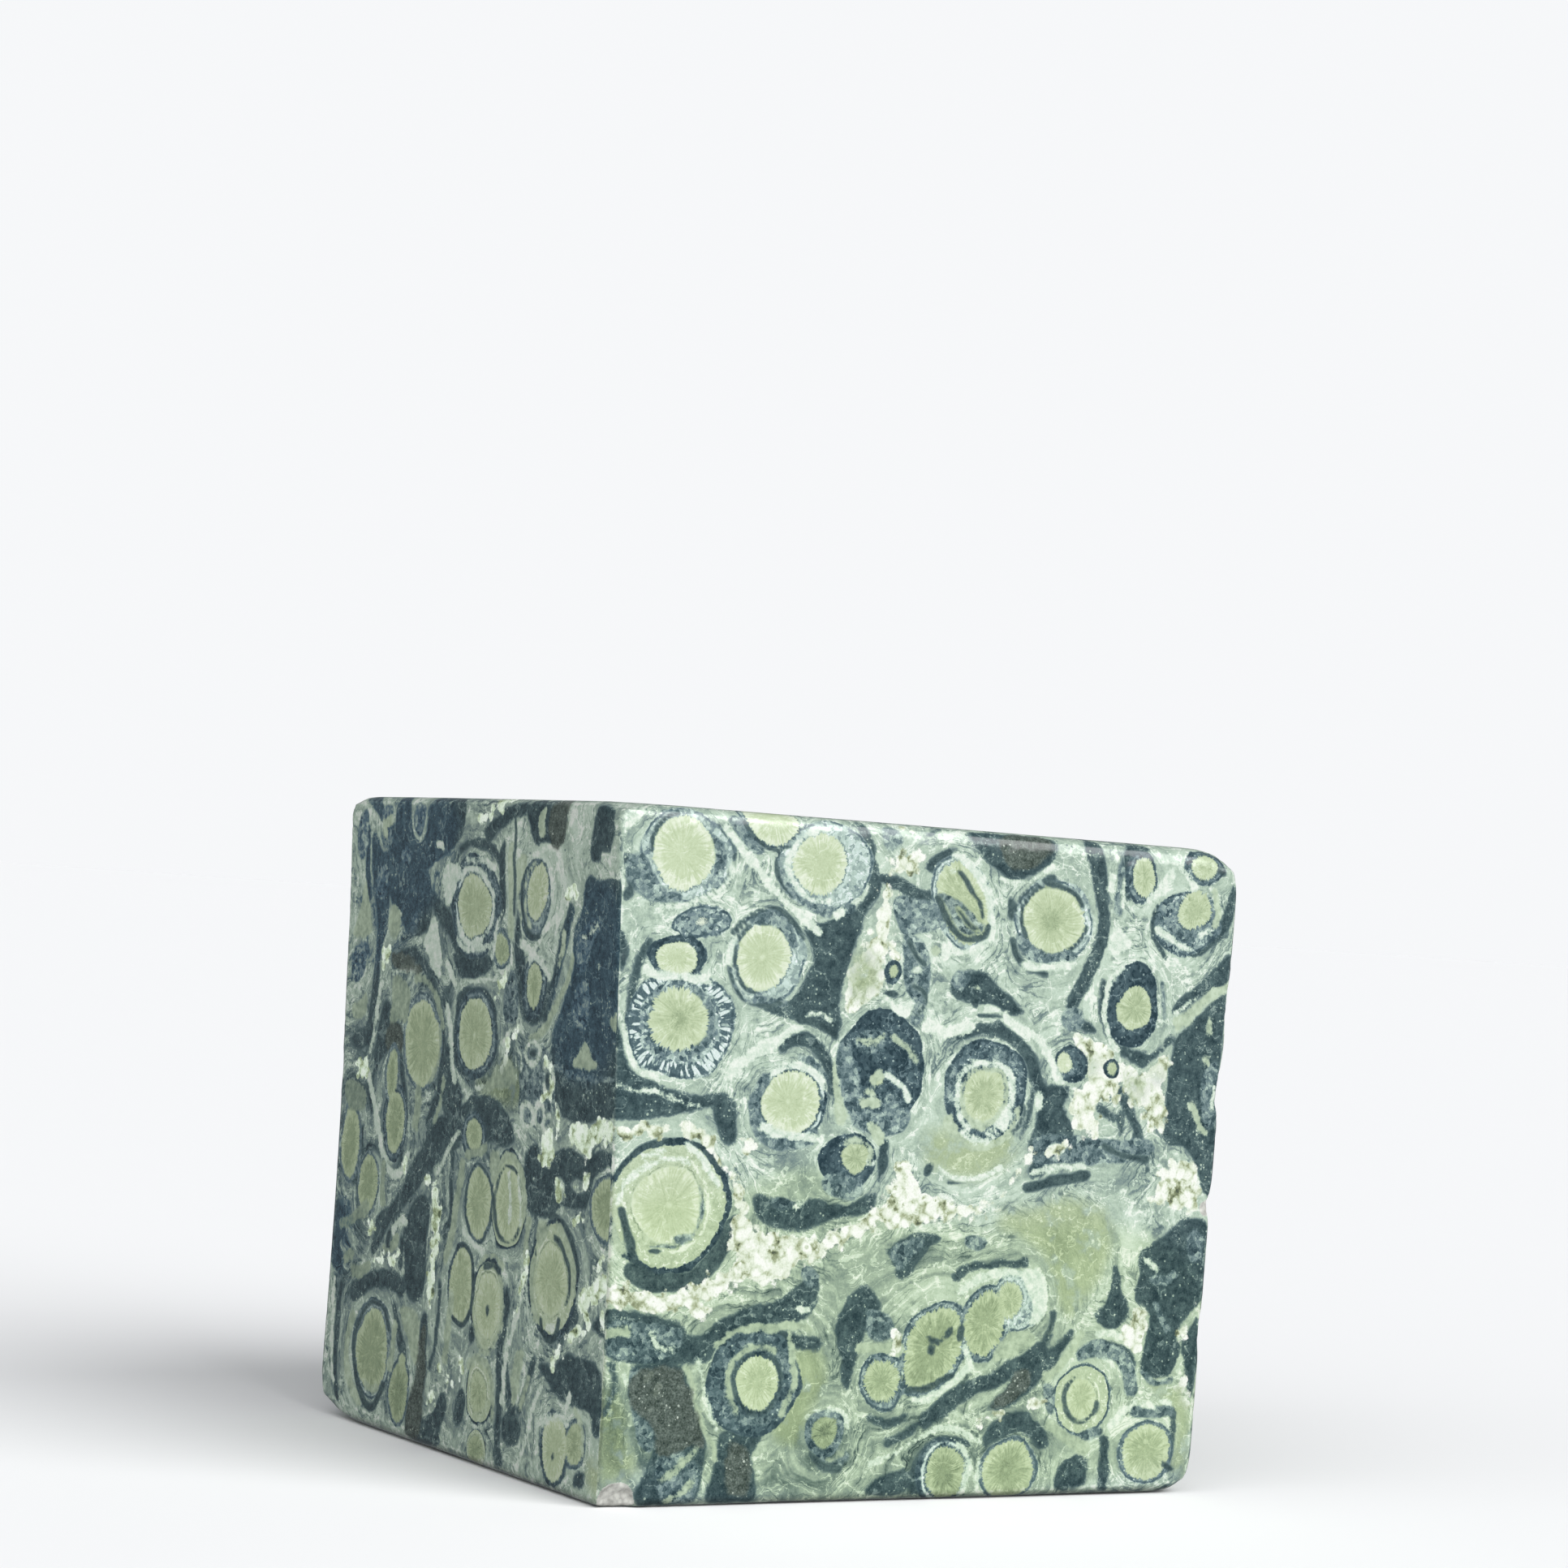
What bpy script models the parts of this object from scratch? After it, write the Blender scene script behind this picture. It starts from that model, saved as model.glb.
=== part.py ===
"""Kambaba jasper cube: one hand-cut, polished block of orbicular green stone.

Run with: blender --background --python part.py
Units are metres, +Z is up, and the origin is on the ground under the middle of the block.
The bright face looks along -Y, the face beside it along -X.
"""

import math
import random

import bmesh
import bpy
from mathutils import Vector

MM = 0.001

# Size of the block
HEIGHT = 50.3 * MM
DEPTH = 47.8 * MM
WIDTH = 56.4 * MM  # across the top of the bright face, where the block is widest

# The saw cuts lean a little: how far each upright edge stands in from the widest point, (base, top)
INSET = {
    ("left", "front"): (2.15 * MM, 0.0),
    ("right", "front"): (1.30 * MM, 0.0),
    ("left", "back"): (1.98 * MM, 1.27 * MM),
    ("right", "back"): (1.10 * MM, 0.50 * MM),
}
LEFT_HOLLOW = 0.40 * MM  # how far the ground side faces dip at half height
RIGHT_HOLLOW = 0.20 * MM

# Polished edges
CRISP_EDGE = 0.16 * MM  # the upright edge between the two best faces
UPRIGHT_EDGE = 0.45 * MM
TOP_EDGE = 0.80 * MM
BASE_EDGE = 0.60 * MM

# Grid of each face: cells along an edge, and how strongly the lines crowd towards the edges
CELLS = 20
LINE_CROWDING = 2.4

CHIP_SEED = 11
CHIP_ROUGHNESS = 0.14  # share of its radius that a chip's facets wander

X, Y, Z = 0, 1, 2

# Worn corners: plane of the rounding, side signs in it, reach along each axis,
# the axis it fades along, the end that it starts from and how far it goes
WORN_CORNERS = (
    ((X, Y), (1, -1), (0.7 * MM, 0.8 * MM), Z, 1, 9 * MM),  # front right top, first its front rim
    ((Y, Z), (-1, 1), (0.9 * MM, 1.1 * MM), X, 1, 12 * MM),
    ((X, Z), (1, 1), (3.6 * MM, 3.1 * MM), Y, -1, 30 * MM),
    ((X, Z), (1, -1), (3.2 * MM, 2.6 * MM), Y, -1, 14 * MM),  # front right base
    ((X, Z), (-1, 1), (6.0 * MM, 1.0 * MM), Y, -1, 5 * MM),  # front left top
    ((Y, Z), (1, -1), (7.0 * MM, 3.2 * MM), X, -1, 22 * MM),  # back left base
    ((Y, Z), (1, 1), (3.0 * MM, 1.4 * MM), X, -1, 10 * MM),  # back left top
    ((X, Y), (1, 1), (2.6 * MM, 3.4 * MM), Z, 1, 12 * MM),  # back right top
    ((X, Z), (1, -1), (2.2 * MM, 1.8 * MM), Y, 1, 9 * MM),  # back right base
)

# Chips along the edges: side signs of the edge point, place along the free axis, and the chip's radii
# (None marks the free axis)
CHIPS = (
    ((-1, -1, None), 0.1 * MM, (2.3 * MM, 0.55 * MM, 1.6 * MM), (0.55, 0.0, 0.0)),  # white chip at the foot
    ((1, -1, None), 22.5 * MM, (0.95 * MM, 1.3 * MM, 1.0 * MM), (0.30, 0.10, 0.0)),  # notch in the right edge
    ((1, -1, None), 31.5 * MM, (0.95 * MM, 1.5 * MM, 2.6 * MM), (0.30, 0.0, 0.0)),
    ((1, -1, None), 12.6 * MM, (0.75 * MM, 1.2 * MM, 2.2 * MM), (0.42, 0.0, 0.0)),
    ((1, -1, None), 37.8 * MM, (0.70 * MM, 1.2 * MM, 2.6 * MM), (0.45, 0.0, 0.0)),
    ((-1, 1, None), 28.0 * MM, (0.60 * MM, 1.4 * MM, 1.8 * MM), (-0.50, 0.20, 0.0)),
    ((1, 1, None), 14.0 * MM, (1.3 * MM, 1.1 * MM, 2.2 * MM), (0.30, 0.20, 0.0)),
    ((1, None, -1), 8.0 * MM, (1.1 * MM, 2.4 * MM, 0.9 * MM), (0.30, 0.0, -0.35)),
    ((None, 1, 1), -6.0 * MM, (2.6 * MM, 1.0 * MM, 0.8 * MM), (0.0, 0.30, 0.35)),
    ((1, None, 1), 12.5 * MM, (0.8 * MM, 1.5 * MM, 0.8 * MM), (0.30, 0.0, 0.40)),
)

STONE_GREEN = (0.20, 0.30, 0.22, 1.0)
STONE_ROUGHNESS = 0.22

HALF = (WIDTH / 2, DEPTH / 2, HEIGHT / 2)


def start_clean():
    for obj in list(bpy.data.objects):
        bpy.data.objects.remove(obj, do_unlink=True)


def new_collection(name):
    collection = bpy.data.collections.new(name)
    bpy.context.scene.collection.children.link(collection)
    return collection


def smooth_fade(share):
    """1 at share 0, 0 from share 1 on, with no kink."""
    share = min(max(share, 0.0), 1.0)
    return 1.0 - share * share * (3.0 - 2.0 * share)


def crowd(t, half):
    """Grid place t, from -1 to 1, as a distance from the middle, with the lines crowded near the edges."""
    return math.copysign(half - half * (1.0 - abs(t)) ** LINE_CROWDING, t)


def round_edge(point, plane, signs, reach):
    """Bends the square corner of one outline into a quarter ellipse."""
    if min(reach) <= 0:
        return
    gap = [
        (signs[n] * point[axis] - (HALF[axis] - reach[n])) / reach[n]
        for n, axis in enumerate(plane)
    ]
    if min(gap) <= 0:
        return
    pull = max(gap) / math.hypot(*gap)
    for n, axis in enumerate(plane):
        point[axis] = signs[n] * (HALF[axis] - reach[n] + reach[n] * gap[n] * pull)


def round_all_edges(point):
    for sx in (-1, 1):
        for sy in (-1, 1):
            crisp = sx < 0 and sy < 0
            size = CRISP_EDGE if crisp else UPRIGHT_EDGE
            round_edge(point, (X, Y), (sx, sy), (size, size))
    for side in (-1, 1):
        for plane in ((X, Z), (Y, Z)):
            round_edge(point, plane, (side, 1), (TOP_EDGE, TOP_EDGE))
            round_edge(point, plane, (side, -1), (BASE_EDGE, BASE_EDGE))


def wear_corners(point):
    for plane, signs, reach, along, end, length in WORN_CORNERS:
        away = abs(point[along] - end * HALF[along])
        strength = smooth_fade(away / length)
        round_edge(point, plane, signs, [r * strength for r in reach])


def lean_and_hollow(point):
    """Moves the sides to where the saw left them. The top and the base stay level."""
    across = point[X] / HALF[X]
    back = 0.5 + 0.5 * point[Y] / HALF[Y]
    up = 0.5 + 0.5 * point[Z] / HALF[Z]
    side = "left" if across < 0 else "right"
    insets = [
        INSET[side, end][0] * (1 - up) + INSET[side, end][1] * up
        for end in ("front", "back")
    ]
    inset = insets[0] * (1 - back) + insets[1] * back
    hollow = LEFT_HOLLOW if across < 0 else RIGHT_HOLLOW
    inset += hollow * 4 * up * (1 - up)
    point[X] -= across * inset


def block_mesh():
    """The block as a gridded cube whose points are moved to the cut and worn shape."""
    mesh = bpy.data.meshes.new("jasper_cube")
    bm = bmesh.new()
    bmesh.ops.create_cube(bm, size=2.0)
    bmesh.ops.subdivide_edges(bm, edges=bm.edges[:], cuts=CELLS - 1, use_grid_fill=True)
    for vert in bm.verts:
        point = Vector(crowd(t, HALF[axis]) for axis, t in enumerate(vert.co))
        round_all_edges(point)
        wear_corners(point)
        lean_and_hollow(point)
        vert.co = point + Vector((0, 0, HALF[Z]))
    bmesh.ops.recalc_face_normals(bm, faces=bm.faces[:])
    bm.to_mesh(mesh)
    bm.free()
    return mesh


def edge_point(sides, place):
    """A point on one edge of the finished block: its two fixed sides, and its place along the free axis."""
    point = Vector(place if s is None else s * HALF[axis] for axis, s in enumerate(sides))
    if sides[Z] is None:
        point[Z] = place - HALF[Z]
    lean_and_hollow(point)
    return point + Vector((0, 0, HALF[Z]))


def chip_cutter(number, sides, place, radii, shift, collection):
    """A knobbly ball that knocks one chip out of an edge."""
    rng = random.Random(CHIP_SEED + number)
    mesh = bpy.data.meshes.new(f"chip_{number:02d}")
    bm = bmesh.new()
    bmesh.ops.create_icosphere(bm, subdivisions=2, radius=1.0)
    for vert in bm.verts:
        vert.co *= 1.0 + rng.uniform(-CHIP_ROUGHNESS, CHIP_ROUGHNESS)
    bm.to_mesh(mesh)
    bm.free()
    cutter = bpy.data.objects.new(mesh.name, mesh)
    offset = Vector(share * r for share, r in zip(shift, radii))
    cutter.location = edge_point(sides, place) + offset
    cutter.scale = radii
    cutter.rotation_euler = (0, 0, 0)
    cutter.hide_render = True
    cutter.display_type = "WIRE"
    collection.objects.link(cutter)
    return cutter


def stone_material():
    material = bpy.data.materials.new("polished_stone")
    material.use_nodes = True
    shader = material.node_tree.nodes["Principled BSDF"]
    shader.inputs["Base Color"].default_value = STONE_GREEN
    shader.inputs["Roughness"].default_value = STONE_ROUGHNESS
    shader.inputs["Metallic"].default_value = 0.0
    return material


def build():
    start_clean()
    parts = new_collection("kambaba_jasper_cube")
    cutters = new_collection("chip_cutters")
    block = bpy.data.objects.new("jasper_cube", block_mesh())
    block.data.materials.append(stone_material())
    parts.objects.link(block)
    for number, (sides, place, radii, shift) in enumerate(CHIPS):
        cutter = chip_cutter(number, sides, place, radii, shift, cutters)
        cut = block.modifiers.new(cutter.name, "BOOLEAN")
        cut.operation = "DIFFERENCE"
        cut.solver = "EXACT"
        cut.object = cutter


build()
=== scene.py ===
"""Kambaba jasper cube: the polished stone with its orbicular pattern, on a plain pale floor.

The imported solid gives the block's size and shape. A fine skin is laid on it here, the pattern is
worked out on the skin from lists of eyes and patches, and the material turns it into stone.
Lengths in the lists are millimetres, because the eyes are only a few millimetres across.
"""

import math
import random

import bmesh
import bpy
import numpy as np
from mathutils import Matrix, Vector, noise
from mathutils.bvhtree import BVHTree


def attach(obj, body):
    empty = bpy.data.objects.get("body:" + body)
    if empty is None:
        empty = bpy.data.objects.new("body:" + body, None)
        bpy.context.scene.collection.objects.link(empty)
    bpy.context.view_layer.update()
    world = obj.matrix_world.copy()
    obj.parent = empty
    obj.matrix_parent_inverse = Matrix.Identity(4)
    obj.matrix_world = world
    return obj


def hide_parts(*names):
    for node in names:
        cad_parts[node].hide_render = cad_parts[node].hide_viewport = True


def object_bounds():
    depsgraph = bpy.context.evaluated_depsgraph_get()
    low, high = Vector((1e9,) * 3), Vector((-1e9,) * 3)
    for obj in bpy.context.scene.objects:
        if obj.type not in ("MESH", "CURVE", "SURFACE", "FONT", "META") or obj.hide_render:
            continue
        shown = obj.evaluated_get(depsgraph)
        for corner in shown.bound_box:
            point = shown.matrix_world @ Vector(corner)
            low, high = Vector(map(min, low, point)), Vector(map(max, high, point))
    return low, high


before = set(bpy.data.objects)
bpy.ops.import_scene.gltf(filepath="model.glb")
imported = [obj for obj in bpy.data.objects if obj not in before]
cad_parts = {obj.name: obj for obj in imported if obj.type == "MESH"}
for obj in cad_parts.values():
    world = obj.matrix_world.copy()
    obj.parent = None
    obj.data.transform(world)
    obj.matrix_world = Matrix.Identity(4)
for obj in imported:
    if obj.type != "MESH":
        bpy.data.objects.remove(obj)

MM = 0.001
X, Y, Z = 0, 1, 2

cad_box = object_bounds()
LOW, HIGH = (np.array(corner) / MM for corner in cad_box)
SIZE = HIGH - LOW
MIDDLE = (LOW + HIGH) / 2

# Skin
CELLS = (92, 78, 84)  # along X, Y and Z. The two photographed faces have twice as many
EDGE_CROWDING = 0.65  # how much closer the lines lie at an edge than in the middle of a face
CROWDED_SHARE = 0.03  # of half a side
FAN_SHARE = 0.14  # of half a side, where the skin turns round an edge
SMOOTHING_ROUNDS = 3

# Random eyes on the sides that are not drawn
WILD_SEED = 7
WILD_TRIES = 620
WILD_CORE = (3.1, 0.6)  # largest and smallest core radius
WILD_CLOSENESS = 0.76  # of the two halos' radii, how near one eye may come to another
WILD_LOOSENESS = 1.2  # how much more the pattern wanders there

DRAWN_REACH = 3.5  # how far the drawn pattern runs on round an edge

# Camera
CAMERA_AZIMUTH = -31.406
CAMERA_ELEVATION = -1.901
CAMERA_ROLL = 3.854
CAMERA_DISTANCE = 0.30598
CAMERA_TARGET = Vector((-0.0001, 0.0, 0.05336))
CAMERA_LENS = 87.58


# The eyes

# How a halo looks: its tone from dark to pale, its glitter of crystals, how white the ring at the core is,
# and the share of it that is as pale as the core
LOOKS = {
    "dark": (0.10, 0.15, 0.1, 0.0),
    "slate": (0.20, 0.35, 0.3, 0.0),
    "crystal": (0.38, 0.75, 0.2, 0.0),
    "teeth": (0.44, 1.0, 0.1, 0.0),
    "ringed": (0.24, 0.45, 1.0, 0.0),
    "target": (0.10, 0.15, 0.6, 0.78),
    "soft": (0.36, 0.2, 0.2, 0.84),
    "pale": (0.66, 0.5, 0.5, 0.0),
    "plain": (0.42, 0.35, 0.3, 0.0),
}


def eye(u, v, core, halo, shift=(0.0, 0.0), turn=0, look="slate", tone=0.7, spot=0.0):
    """One eye in the plane of its face: its middle, and the half sizes of core and halo.

    shift moves the halo off the core's middle, turn is in degrees, tone runs from dull olive
    to pale, and spot is how dark the point in the middle is.
    """
    return {
        "at": (u, v), "core": core, "halo": halo, "shift": shift,
        "turn": turn, "look": look, "tone": tone, "spot": spot,
    }


# Bright face, as (x, z)
FRONT_EYES = [
    eye(-22.6, 46.85, (2.6, 2.5), (3.9, 3.3), (0.2, -0.1), look="pale", tone=0.78),
    eye(-15.3, 50.4, (2.3, 2.3), (2.6, 2.5), (-0.3, -0.1), look="crystal", tone=0.78),
    eye(-11.2, 46.85, (2.3, 2.15), (4.3, 3.3), (0.5, -0.1), look="pale", tone=0.74),
    eye(-20.75, 42.0, (0.4, 0.3), (2.55, 1.25), (0.0, 0.0), turn=6, look="crystal", tone=1.0),
    eye(-15.5, 39.65, (2.3, 2.4), (3.3, 3.45), (0.3, 0.0), look="pale", tone=0.76, spot=0.2),
    eye(-22.5, 39.35, (1.8, 1.2), (2.5, 1.65), (-0.05, 0.15), look="dark", tone=0.72),
    eye(-22.05, 34.95, (2.5, 2.35), (4.5, 4.1), (0.1, -0.3), look="teeth", tone=0.65, spot=0.6),
    eye(-12.4, 29.35, (2.45, 2.4), (3.1, 3.0), (0.0, -0.1), look="ringed", tone=0.75, spot=0.2),
    eye(-4.9, 31.3, (0.7, 0.4), (3.8, 4.5), (0.3, 0.7), look="dark", tone=0.60),
    eye(-6.5, 25.5, (1.3, 1.2), (2.5, 2.2), (-0.5, -0.3), look="dark", tone=0.52),
    eye(1.8, 44.6, (2.1, 3.2), (2.7, 3.8), turn=31, look="pale", tone=0.62),
    eye(-4.2, 39.35, (0.4, 0.5), (0.8, 0.9), look="dark", tone=0.50),
    eye(10.25, 43.95, (2.95, 2.55), (3.8, 3.25), (0.0, -0.1), look="pale", tone=0.68, spot=0.6),
    eye(18.55, 47.45, (1.1, 1.5), (1.6, 2.0), (-0.3, 0.0), look="slate", tone=0.62),
    eye(23.5, 45.4, (1.4, 1.6), (3.3, 2.6), (-0.7, -1.0), look="crystal", tone=0.60),
    eye(24.2, 48.7, (1.25, 0.95), (2.0, 1.4), look="slate", tone=0.60),
    eye(18.3, 37.55, (1.7, 1.72), (2.5, 3.4), (-0.15, 0.3), look="dark", tone=0.58),
    eye(4.85, 30.3, (1.95, 1.95), (3.85, 3.8), (0.1, 0.5), look="slate", tone=0.60),
    eye(12.05, 33.1, (0.75, 0.8), (1.6, 1.4), (0.6, -0.1), look="dark", tone=0.70),
    eye(16.5, 32.75, (0.5, 0.6), (0.8, 0.85), look="dark", tone=0.50),
    eye(-22.0, 21.6, (2.8, 2.75), (5.1, 5.0), (0.0, -0.1), look="target", tone=0.72, spot=0.3),
    eye(-13.45, 8.95, (1.85, 1.95), (4.1, 3.9), (-0.4, 0.1), look="slate", tone=0.62),
    eye(-7.3, 5.25, (1.2, 1.25), (1.75, 1.8), (0.0, 0.0), look="crystal", tone=0.33),
    eye(-2.6, 8.75, (1.55, 1.5), (2.15, 2.1), look="crystal", tone=0.48),
    eye(1.65, 11.2, (2.4, 3.3), (2.95, 3.85), turn=-30, look="crystal", tone=0.48),
    eye(6.1, 13.3, (1.7, 2.35), (2.3, 2.9), turn=-8, look="crystal", tone=0.50),
    eye(8.3, 14.9, (1.2, 1.35), (2.6, 2.3), (0.9, 0.0), look="pale", tone=0.52),
    eye(3.5, 2.0, (1.7, 1.95), (2.4, 2.6), (-0.3, 0.1), look="ringed", tone=0.42),
    eye(9.15, 2.1, (2.5, 2.25), (2.9, 2.6), look="plain", tone=0.53, spot=0.4),
    eye(15.7, 7.45, (1.6, 1.65), (2.85, 2.85), (0.1, 0.0), look="soft", tone=0.62),
    eye(22.15, 3.3, (2.3, 2.1), (2.75, 2.5), look="plain", tone=0.58),
]

# Side face, as (y, z)
LEFT_EYES = [
    eye(-10.9, 43.4, (1.7, 2.25), (2.7, 3.1), (0.5, -0.5), turn=18, look="plain", tone=0.66),
    eye(-10.8, 36.5, (1.3, 1.6), (2.1, 2.3), (0.1, -0.1), look="slate", tone=0.52),
    eye(-0.2, 42.0, (2.9, 2.4), (4.4, 3.9), (-0.2, 0.0), look="ringed", tone=0.62),
    eye(-5.0, 39.0, (1.1, 1.2), (1.5, 1.6), look="plain", tone=0.46),
    eye(-0.9, 32.3, (2.9, 2.6), (3.6, 3.4), (-0.1, 0.0), look="slate", tone=0.60, spot=0.2),
    eye(-1.3, 24.6, (1.3, 1.4), (2.0, 2.0), look="slate", tone=0.48),
    eye(-23.2, 21.2, (2.4, 2.1), (2.8, 2.5), look="plain", tone=0.50),
    eye(8.5, 31.0, (3.1, 3.3), (3.6, 3.8), (0.0, 0.1), look="plain", tone=0.56),
    eye(13.6, 28.3, (1.0, 2.0), (1.4, 2.5), look="plain", tone=0.44),
    eye(-15.1, 15.2, (2.55, 2.6), (4.1, 4.4), (-0.2, 0.0), look="target", tone=0.62),
    eye(-7.6, 20.0, (2.1, 2.8), (2.9, 3.9), (0.0, 0.4), look="target", tone=0.62),
    eye(-2.8, 19.6, (2.0, 2.6), (2.4, 3.0), look="plain", tone=0.56),
    eye(-5.3, 12.1, (2.0, 2.6), (2.7, 3.6), (0.0, 0.1), look="target", tone=0.66),
    eye(-0.6, 13.1, (2.1, 3.0), (2.5, 3.4), look="slate", tone=0.56),
    eye(-4.4, 5.4, (1.4, 1.6), (2.3, 2.6), (-0.1, 0.1), look="target", tone=0.50),
    eye(-4.6, 1.1, (1.4, 1.0), (1.8, 1.5), look="target", tone=0.42),
    eye(-20.0, 4.0, (1.2, 1.5), (1.6, 1.9), look="plain", tone=0.48),
    eye(-16.9, 3.3, (2.0, 2.4), (2.4, 2.8), look="slate", tone=0.68),
    eye(12.7, 24.5, (1.7, 2.4), (2.3, 3.1), look="slate", tone=0.46),
    eye(17.2, 19.3, (1.8, 2.3), (2.1, 2.6), look="plain", tone=0.46),
    eye(21.0, 22.2, (1.6, 2.9), (2.0, 3.3), look="plain", tone=0.48),
    eye(14.3, 6.2, (2.8, 3.1), (3.6, 3.9), (0.0, 0.2), look="plain", tone=0.50),
    eye(9.1, 3.6, (1.6, 2.3), (1.9, 2.7), look="plain", tone=0.42),
    eye(9.0, 6.1, (0.6, 0.5), (0.8, 0.7), look="plain", tone=0.48),
]


# Patches and veins between the eyes

def patch(kind, *outline):
    """A closed area of one kind of stone."""
    return kind, None, outline


def vein(kind, width, *path):
    """A band of one kind of stone along a path."""
    return kind, width, path


def arc(kind, width, middle, radii, start, end):
    """A vein along part of an oval. The angles are in degrees, anticlockwise from the first axis."""
    pieces = max(3, round(abs(end - start) / 20))
    turns = [math.radians(start + (end - start) * n / pieces) for n in range(pieces + 1)]
    path = [(middle[0] + radii[0] * math.cos(t), middle[1] + radii[1] * math.sin(t)) for t in turns]
    return kind, width, tuple(path)


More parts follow.
